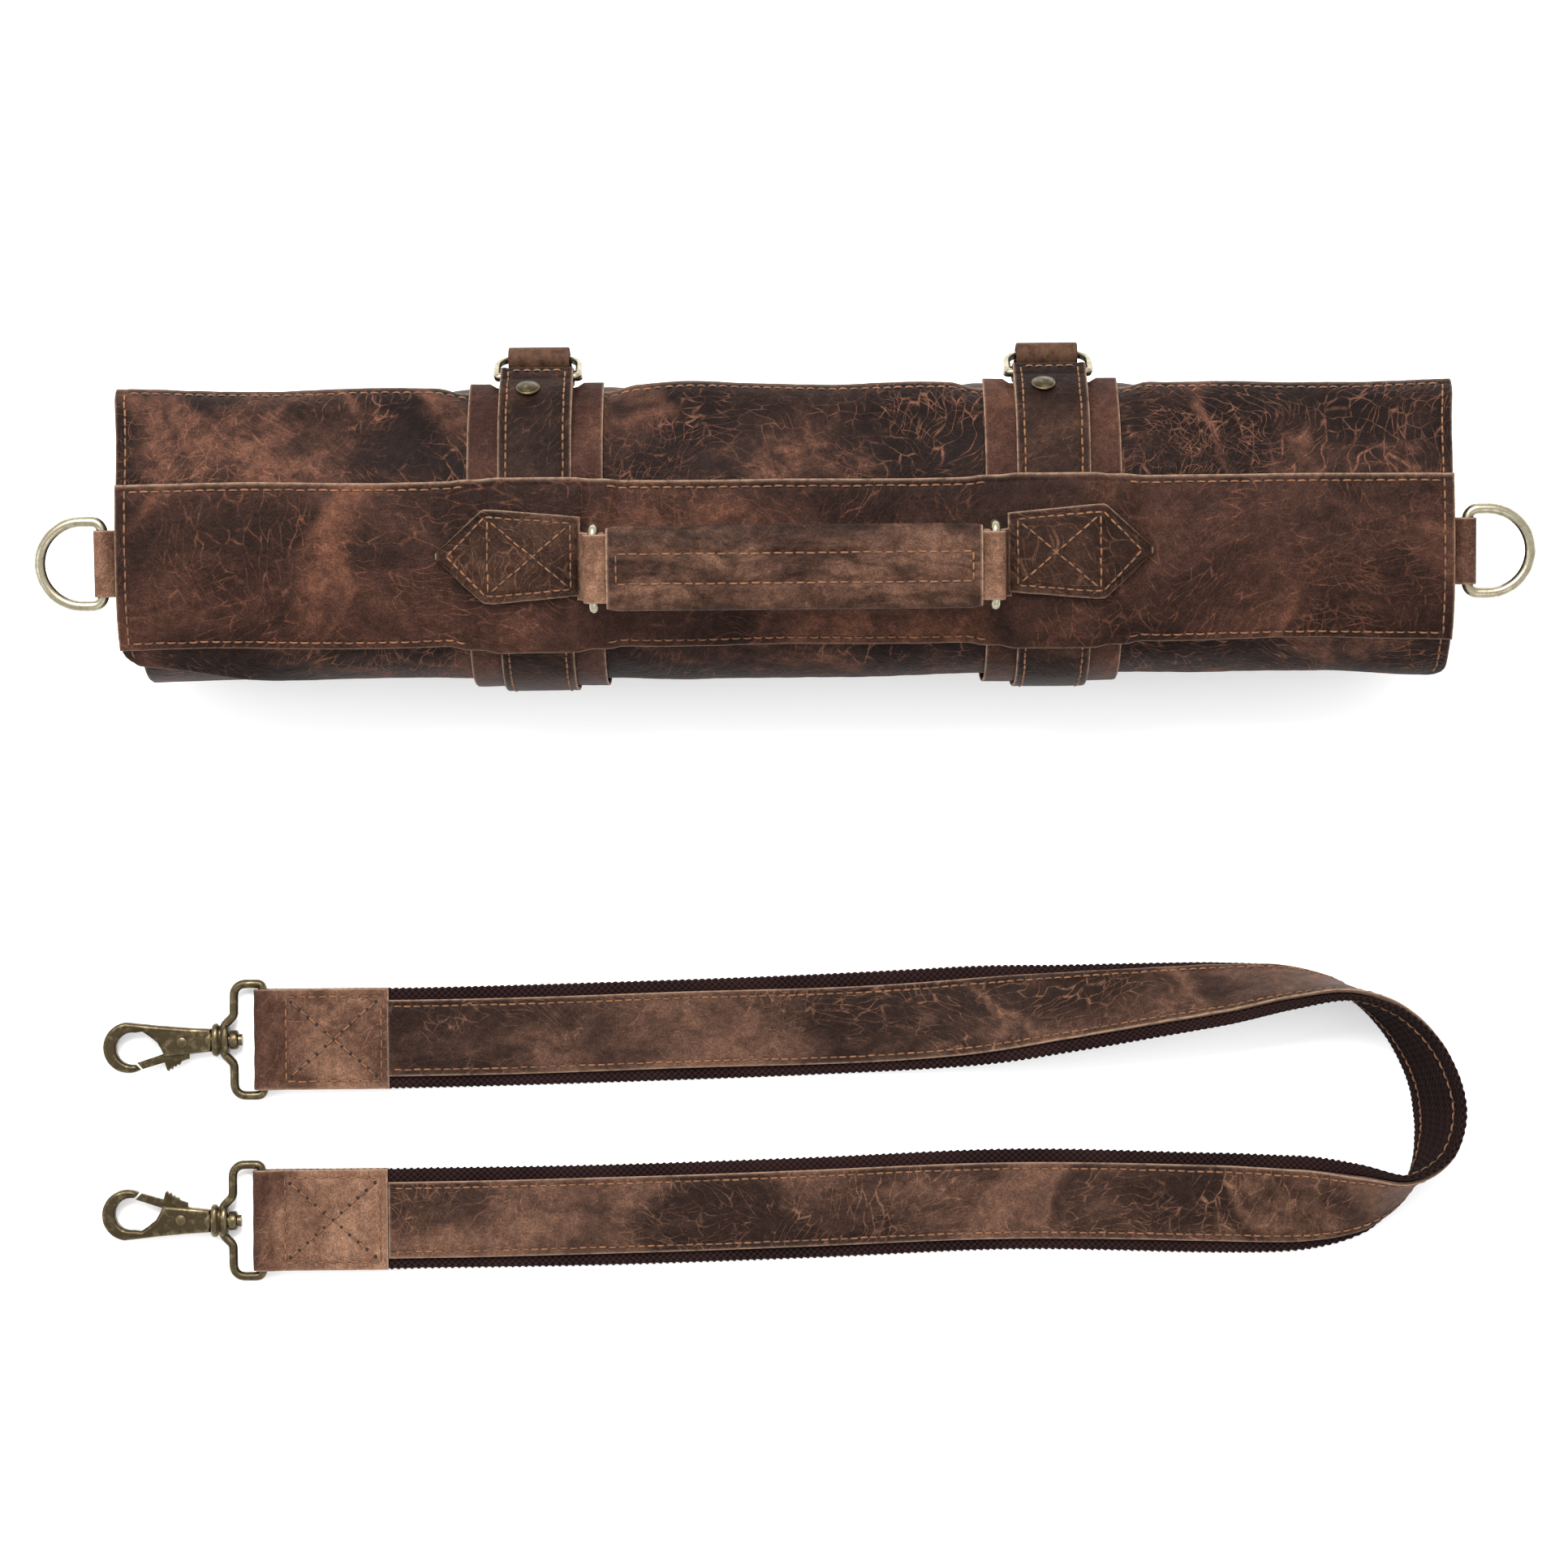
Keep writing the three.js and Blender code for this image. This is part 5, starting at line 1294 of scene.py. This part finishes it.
# ---- end tabs and D-rings ----
def build_end(side, direction):
    seat = placed(direction * (HALF_LENGTH + 5.0), ROLL_Y - 11.0, ROLL_Z + 39.2, ("X", 5.2))
    sunk = float(roll_swell(direction * 232.0, 100.0))
    arc = [(2.85 * math.cos(math.radians(a)), 2.85 * math.sin(math.radians(a)))
           for a in range(-130, 131, 13)]
    corners = [(-16.0, sunk - 0.42), (-6.0, sunk / 2 - 0.42), (-3.6, -0.9), *arc, (-3.6, 0.9),
               (-6.0, sunk / 2 + 0.42), (-16.0, sunk + 0.42)]
    line, place = cross_strap([(direction * u, z) for u, z in corners], -direction)
    s = lines(-11.8, 11.8, 2.0)
    t = lines(0.0, line.length, 0.8)
    sheet(f"end_tab_{side}_leather", in_frame(seat, place), s, t, 0.82, LEATHER["tan"], "case",
          (f"end_tab_{side}",), low=-0.41, rounding=0.25,
          shift=(310.0 * direction, 11.0))
    loop = ring_outline(33.6 - 3.8, 22.4, 4.0, 14.9, 0.8)
    path = np.stack([direction * loop[:, 1], loop[:, 0], 0 * loop[:, 0]], axis=1)
    metal_piece(f"end_d_ring_{side}_wire", transformed(tube(path, 1.9, 24), seat), PALE_BRASS,
                f"end_ring_{side}", (f"end_d_ring_{side}",))


build_end("left", -1)
build_end("right", 1)


# ---- shoulder strap ----
WEBBING_WIDTH = 38.0
WEBBING_THICKNESS = 2.2
STRAP_LEATHER_WIDTH = 28.5
STRAP_LEATHER_THICKNESS = 1.6
WEAVE_PITCH = 2.5
STRIP_STARTS_X = -149.0
# the middle of the webbing: x, y, lean of the leather side in degrees, and lift off the table
STRAP_ROUTE = [
    (-192.5, -81, 0, 1.8), (-176, -81, 0, 1.8), (-149, -81, 0, 1.8), (-134, -81, 0, 0),
    (-60, -79.5, 0, 0), (10, -77.5, 0, 0), (62, -75, 10, 0), (100, -72, 33, 0), (132, -69, 46, 0),
    (160, -66.5, 56, 0), (186, -64.5, 70, 0), (206, -67, 88, 0), (222, -75.5, 102, 0),
    (234, -90, 110, 0), (240, -108, 112, 0), (238, -124, 104, 0), (228, -136.5, 78, 0),
    (212, -143, 42, 0), (190, -145.5, 16, 0), (160, -145.5, 4, 0), (84, -143.5, 0, 0),
    (8, -146, 0, 0), (-70, -148, 0, 0), (-135, -148.5, 0, 0), (-150, -148.5, 0, 1.8),
    (-177, -148.5, 0, 1.8), (-193.5, -148.5, 0, 1.8)]


def centripetal(knots, values):
    """Points of a centripetal Catmull-Rom curve through the knots, at shares from 0 to 1."""
    knots = np.asarray(knots, float)
    ends = np.concatenate([[2 * knots[0] - knots[1]], knots, [2 * knots[-1] - knots[-2]]])
    found = []
    for value in values:
        at = min(value, 1 - 1e-9) * (len(knots) - 1)
        i = int(at)
        u = at - i
        p0, p1, p2, p3 = ends[i:i + 4]
        d0, d1, d2 = (math.sqrt(np.linalg.norm(b - a)) for a, b in ((p0, p1), (p1, p2), (p2, p3)))
        d1 = d1 if d1 > 1e-4 else 1.0
        d0 = d0 if d0 > 1e-4 else d1
        d2 = d2 if d2 > 1e-4 else d1
        m1 = ((p1 - p0) / d0 - (p2 - p0) / (d0 + d1) + (p2 - p1) / d1) * d1
        m2 = ((p2 - p1) / d1 - (p3 - p1) / (d1 + d2) + (p3 - p2) / d2) * d1
        found.append(p1 + m1 * u + (3 * (p2 - p1) - 2 * m1 - m2) * u**2
                     + (2 * (p1 - p2) + m1 + m2) * u**3)
    return np.array(found)


class Ribbon:
    """The strap's middle line, the way across it and its leather side, along its length."""

    def __init__(self):
        shares = np.linspace(0, 1, 1401)
        route = np.array(STRAP_ROUTE, float)
        middle = centripetal(np.column_stack([route[:, :2], 0 * route[:, 0]]), shares)
        leans = centripetal(np.column_stack([route[:, 2:], 0 * route[:, 0]]), shares)
        slope = np.gradient(middle, axis=0)
        slope /= np.linalg.norm(slope, axis=1)[:, None]
        out = np.stack([-slope[:, 1], slope[:, 0], 0 * slope[:, 0]], axis=1)
        angle = np.radians(leans[:, :1])
        up = np.array([[0.0, 0.0, 1.0]])
        self.across = out * np.cos(angle) - up * np.sin(angle)
        self.face = out * np.sin(angle) + up * np.cos(angle)
        middle[:, 2] = (np.maximum(leans[:, 1], 0) + np.abs(self.across[:, 2]) * WEBBING_WIDTH / 2
                        + np.abs(self.face[:, 2]) * WEBBING_THICKNESS / 2)
        self.middle = middle
        steps = np.linalg.norm(np.diff(middle, axis=0), axis=1)
        self.along = np.concatenate([[0.0], np.cumsum(steps)])
        self.length = self.along[-1]
        inside = self.along[middle[:, 0] > STRIP_STARTS_X]
        self.strip = (inside[0], inside[-1])

    def place(self, s, t, height):
        s, t, height = np.broadcast_arrays(s, t, height)

        def along(rows):
            return np.stack([np.interp(s, self.along, column) for column in rows.T], axis=-1)

        return along(self.middle) + along(self.across) * t[..., None] + along(
            self.face) * height[..., None]


RIBBON = Ribbon()


def build_webbing():
    """Ribbed webbing: every yarn crossing is a bump in the mesh, and the edges are toothed."""
    half = WEBBING_WIDTH / 2
    turn = math.tau / WEAVE_PITCH

    def knuckles(flat_s, flat_t):
        return 0.4 * np.sin(turn * flat_s) * np.sin(turn * CROSS_YARNS * flat_t)

    def place(flat_s, flat_t, height):
        return RIBBON.place(flat_s, flat_t, height + knuckles(flat_s, flat_t))

    def trim(grid_s, grid_t):
        tooth = 0.35 * np.sin(turn * grid_s) * (np.abs(grid_t) / half) ** 8
        return grid_s, grid_t + np.sign(grid_t) * (tooth - 0.3)

    s = np.linspace(0.0, RIBBON.length, int(RIBBON.length / (WEAVE_PITCH / 3)) + 1)
    t = np.linspace(-half, half, 43)
    sheet("strap_webbing_weave", place, s, t, WEBBING_THICKNESS - 0.3, WEBBING, "shoulder_strap",
          ("strap_webbing",), low=-(WEBBING_THICKNESS - 0.3) / 2,
          rounding=0.7, trim=trim)


def build_strap_leather():
    half = STRAP_LEATHER_WIDTH / 2
    seams = (-half + 2.4, half - 2.4)
    start, end = RIBBON.strip

    def sway(grid_s, grid_t):
        return grid_s, grid_t + ripple(grid_s, 0 * grid_s, 81, 150.0, 0.35)

    def relief(flat_s, flat_t):
        creases = (ripple(flat_s * 1.6, flat_t, 83, 15.0, 0.09)
                   + ripple(flat_s, flat_t, 85, 60.0, 0.12))
        centre = flat_t - ripple(flat_s, 0 * flat_s, 81, 150.0, 0.35)
        return creases - seam_groove(centre, seams)

    s = lines(start - 1.2, end + 1.2, 1.9)
    t = lines(-half, half, 1.9, seams)
    low = WEBBING_THICKNESS / 2 + 0.35
    sheet("strap_leather_strip", RIBBON.place, s, t, STRAP_LEATHER_THICKNESS, LEATHER["strap"],
          "shoulder_strap", ("strap_leather",), low=low, rounding=0.45, trim=sway,
          relief=relief, shift=(0.0, 700.0))
    rows = []
    for seam in seams:
        holes = spaced([(start + 1, seam), (end - 1, seam)], 3.6)
        holes[:, 1] += ripple(holes[:, 0], 0 * holes[:, 0], 81, 150.0, 0.35)
        rows.append(holes)
    sew("strap_stitching_leather_side", rows, RIBBON.place,
        lambda flat_s, flat_t: low + STRAP_LEATHER_THICKNESS + relief(flat_s, flat_t),
        "shoulder_strap", seed=87)

    def under(s, t, height):
        return RIBBON.place(s, t, -height)

    below = WEBBING_THICKNESS / 2 + 0.05
    shown = [row[under(row[:, 0], row[:, 1], below)[:, 2] > 1.2] for row in rows]
    sew("strap_stitching_webbing_side", shown, under, below, "shoulder_strap", seed=89)


build_webbing()
build_strap_leather()


# ---- strap ends: a leather patch folded round the swivel's bar and over the webbing ----
STRAP_ENDS = {"upper": (-196.4, -81.0, 0.0), "lower": (-197.4, -148.5, 180.0)}
HOOK_AXIS_HEIGHT = 4.4
SWIVEL_WIRE = 1.65
SWIVEL_REACH = 19.0
END_PATCH_WIDTH = 37.6
END_PATCH_THICKNESS = 1.5


def build_end_patch(level):
    bar_x, arm_y, _ = STRAP_ENDS[level]
    inner = SWIVEL_WIRE + 1.2 * CLEARANCE
    radius = inner + END_PATCH_THICKNESS / 2
    reach = 49.0 - inner
    upper = WEBBING_THICKNESS + END_PATCH_THICKNESS * 1.5 + 2 * CLEARANCE
    arc = [(radius * math.cos(math.radians(-75 - 15 * i)),
            HOOK_AXIS_HEIGHT + radius * math.sin(math.radians(-75 - 15 * i))) for i in range(15)]
    corners = [(reach, 0.75), (30, 0.75), (10, 0.75), (3.4, 1.0), *arc,
               (4.2, 6.2), (8, upper + 0.15),
               (14, upper), (30, upper), (reach, upper)]
    line, across = cross_strap(corners, 1.0)
    seed = 91 if level == "upper" else 97
    half = END_PATCH_WIDTH / 2

    def place(s, t, height):
        return across(s, t, height) + np.array([bar_x, arm_y, 0.0])

    seams = (-half + 3.0, half - 3.0)
    ends = (line.length - 38.4, line.length - 2.8)

    def relief(flat_s, flat_t):
        boxed = (flat_t > ends[0] - 2)
        groove = seam_groove(flat_s, seams) * boxed + seam_groove(flat_t, ends)
        return ripple(flat_s, flat_t, seed, 13.0, 0.1) - groove

    s = lines(-half, half, 2.0, seams)
    t = lines(0.0, line.length, 1.7, ends)
    thickness = END_PATCH_THICKNESS
    sheet(f"strap_end_patch_{level}_leather", place, s, t, thickness, LEATHER["tan"],
          "shoulder_strap", (f"strap_end_patch_{level}",), low=-thickness / 2,
          rounding=0.45, relief=relief, shift=(10.0 * seed, 35.0))
    (left, right), (near, far) = seams, ends
    box = [(left, near), (right, near), (right, far), (left, far), (left, near)]
    rows = [spaced(box, 4.1), spaced([(left + 2, near + 2), (right - 2, far - 2)], 4.1),
            spaced([(right - 2, near + 2), (left + 2, far - 2)], 4.1)]
    sew(f"strap_end_stitching_{level}", rows, place,
        lambda flat_s, flat_t: thickness / 2 + relief(flat_s, flat_t), "shoulder_strap",
        seed=seed, hole=0.8)


# ---- swivel snap hooks ----
COLLAR_LENGTH = 6.2
GATE_PIN = (11.1, -0.6)
EYE_CENTRE = (31.2, -2.5)
EYE_RADIUS = 9.5
HOLE_CENTRE = (29.8, -2.9)
HOLE_RADIUS_HOOK = 6.0
SWIVEL_SPAN = 45.0
SWIVEL_SHOULDER = 10.9
SWIVEL_SHOULDER_CORNER = 4.0
SWIVEL_NECK = 14.6


def swivel_outline():
    """Square shoulders beside the strap's fold, then a slant down to the collar's neck."""
    side = SWIVEL_SPAN / 2 - SWIVEL_WIRE
    corner = SWIVEL_SHOULDER_CORNER
    half = [(0.0, 0.0)] + arc_points((side - 1.6, 1.6), 1.6, -math.pi / 2, 0.0, 8)
    half += arc_points((side - corner, SWIVEL_SHOULDER - corner), corner, 0.0, math.pi / 2, 12)
    half += [(9.0, SWIVEL_SHOULDER), (5.4, SWIVEL_NECK), (0.0, SWIVEL_NECK)]
    whole = half + [(-x, y) for x, y in half[-2::-1]]
    loop = spaced_along(whole, 0.7)[:-1]
    for _ in range(3):
        loop = (np.roll(loop, 1, axis=0) + 2 * loop + np.roll(loop, -1, axis=0)) / 4
    return loop


def build_swivel(level):
    bar_x, arm_y, _ = STRAP_ENDS[level]
    loop = swivel_outline()
    path = np.stack([-loop[:, 1], loop[:, 0], 0 * loop[:, 0]], axis=1)
    wire = tube(path, SWIVEL_WIRE, 20)
    flange = [(2.5, -COLLAR_LENGTH / 2), (5.3, -COLLAR_LENGTH / 2), (6.0, -2.6), (6.2, -1.9),
              (6.2, -1.2), (5.5, -0.6), (5.3, 0.0), (5.5, 0.6), (6.2, 1.2), (6.2, 1.9), (6.0, 2.6),
              (5.3, COLLAR_LENGTH / 2), (2.5, COLLAR_LENGTH / 2)]
    points, faces = turned(flange, 40)
    sides, count = 40, len(flange)
    faces += [[sides * (count - 1) + k, k, (k + 1) % sides, sides * (count - 1) + (k + 1) % sides]
              for k in range(sides)]
    points = points * (4.0 / 6.2, 1.0, 1.0)
    collar = transformed((points, faces), placed(-15.9, 0, 0, ("Y", 90.0)))
    part = transformed(merged(wire, collar), placed(bar_x, arm_y, HOOK_AXIS_HEIGHT))
    name = f"swivel_loop_{level}"
    metal_piece(name + "_casting", part, OLD_BRASS, f"swivel_{level}", (name,), 60)


def arc_points(centre, radius, start, end, count):
    return [(centre[0] + radius * math.cos(start + (end - start) * i / count),
             centre[1] + radius * math.sin(start + (end - start) * i / count))
            for i in range(count + 1)]


def rounded_plate(name, outline_points, half, bevel, holes=()):
    """A flat outline thickened both ways with well rounded edges, as points and faces."""
    curve = bpy.data.curves.new(name, "CURVE")
    curve.dimensions = "2D"
    curve.fill_mode = "BOTH"
    curve.extrude = half - bevel
    curve.bevel_depth = bevel
    curve.bevel_resolution = 4
    curve.offset = -bevel
    for corners in (outline_points, *holes):
        spline = curve.splines.new("POLY")
        spline.points.add(len(corners) - 1)
        for point, (x, y) in zip(spline.points, corners):
            point.co = (x, y, 0.0, 1.0)
        spline.use_cyclic_u = True
    helper = bpy.data.objects.new(name, curve)
    bpy.context.scene.collection.objects.link(helper)
    view = bpy.context.evaluated_depsgraph_get()
    mesh = bpy.data.meshes.new_from_object(helper.evaluated_get(view))
    points = np.array([v.co for v in mesh.vertices], float)
    faces = [list(polygon.vertices) for polygon in mesh.polygons]
    bpy.data.objects.remove(helper)
    return points, faces


def build_hook(level):
    bar_x, arm_y, roll = STRAP_ENDS[level]
    seat = placed(bar_x - SWIVEL_REACH, arm_y, HOOK_AXIS_HEIGHT, ("X", roll), ("Y", 180.0))
    body_name = f"hook_{level}"
    outer = arc_points(EYE_CENTRE, EYE_RADIUS, 1.46, -2.06, 30)
    inner = arc_points(HOLE_CENTRE, HOLE_RADIUS_HOOK, -1.75, 1.75, 24)
    shape = [(0.3, -4.3), (0.3, 4.2), (8.0, 4.6), (20.0, 5.6), *outer, (28.0, -9.4), *inner,
             (26.0, 3.4), (23.4, 1.6), (20.6, -0.6), (19.0, -3.2), (17.8, -6.0), (9.0, -5.2)]
    body = rounded_plate("hook_outline", shape, 2.5, 1.25)
    post = [(0.0, -11.2), (2.2, -11.2), (2.2, 1.5), (0.0, 1.5)]
    stem = transformed(turned(post, 24), placed(0, 0, 0, ("Y", 90.0)))
    head = [(0.0, -9.8), (2.9, -9.8), (3.45, -9.4), (3.6, -8.8), (3.6, -7.3), (3.3, -6.7),
            (2.2, -6.5), (0.0, -6.5)]
    button = transformed(turned(head, 28), placed(0, 0, 0, ("Y", 90.0)))
    shoulder = [(0.0, 0.3), (3.9, 0.3), (4.3, 0.8), (4.3, 2.0), (3.7, 2.7), (0.0, 2.9)]
    points, faces = turned(shoulder, 28)
    ring = transformed((points * (0.62, 1.0, 1.0), faces), placed(0, 0, 0, ("Y", 90.0)))
    part = transformed(merged(body, stem, button, ring), seat)
    metal_piece(f"hook_body_{level}_casting", part, OLD_BRASS, body_name,
                (f"hook_body_{level}",), 50)

    serrated = [(8.6, -6.9), (11.4, -7.8), (12.2, -9.2), (13.0, -8.9), (13.6, -9.9), (14.3, -9.4),
                (14.9, -10.9), (15.6, -10.3), (16.2, -11.5), (17.0, -11.0), (17.8, -8.2)]
    gate_shape = [(28.2, -8.2), (18.3, -5.0), (14.2, 0.9), (11.1, 2.2), (8.4, -0.6), (8.5, -5.0),
                  *serrated, (26.0, -10.6)]
    gate = rounded_plate("gate_outline", gate_shape, 1.0, 0.35)
    metal_piece(f"trigger_gate_{level}_lever", transformed(gate, seat), OLD_BRASS,
                f"gate_{level}", (f"trigger_gate_{level}",), 50)

    rivet = [(0.0, -3.25), (1.3, -3.2), (2.0, -2.95), (2.2, -2.6), (1.5, -2.5), (1.5, 2.5),
             (2.2, 2.6), (2.0, 2.95), (1.3, 3.2), (0.0, 3.25)]
    pin = transformed(turned(rivet, 24), seat @ placed(*GATE_PIN, 0.0))
    metal_piece(f"gate_pin_{level}_rivet", pin, OLD_BRASS, body_name,
                (f"gate_pin_{level}",), 50)
    leaf = [(7.2, -4.4), (7.1, -1.0), (7.2, 1.9), (8.0, 2.5), (9.0, 2.6)]
    spring_line = Profile(smooth_line(leaf, 6), 1.0)
    points = spring_line.points
    normals = spring_line.normals * 0.17
    ring = np.concatenate([points + normals, (points - normals)[::-1]])
    count = len(ring)
    solid = np.concatenate([np.column_stack([ring, np.full(count, z)]) for z in (-1.0, 1.0)])
    faces = [[k, (k + 1) % count, (k + 1) % count + count, k + count] for k in range(count)]
    half = len(points)
    faces += [[k, k + 1, count - 2 - k, count - 1 - k] for k in range(half - 1)]
    faces += [[k + count, count - 1 - k + count, count - 2 - k + count, k + 1 + count]
              for k in range(half - 1)]
    metal_piece(f"gate_spring_{level}_leaf", transformed((solid, faces), seat), OLD_BRASS,
                body_name, (f"gate_spring_{level}",), 50)


for strap_level in STRAP_ENDS:
    build_end_patch(strap_level)
    build_swivel(strap_level)
    build_hook(strap_level)
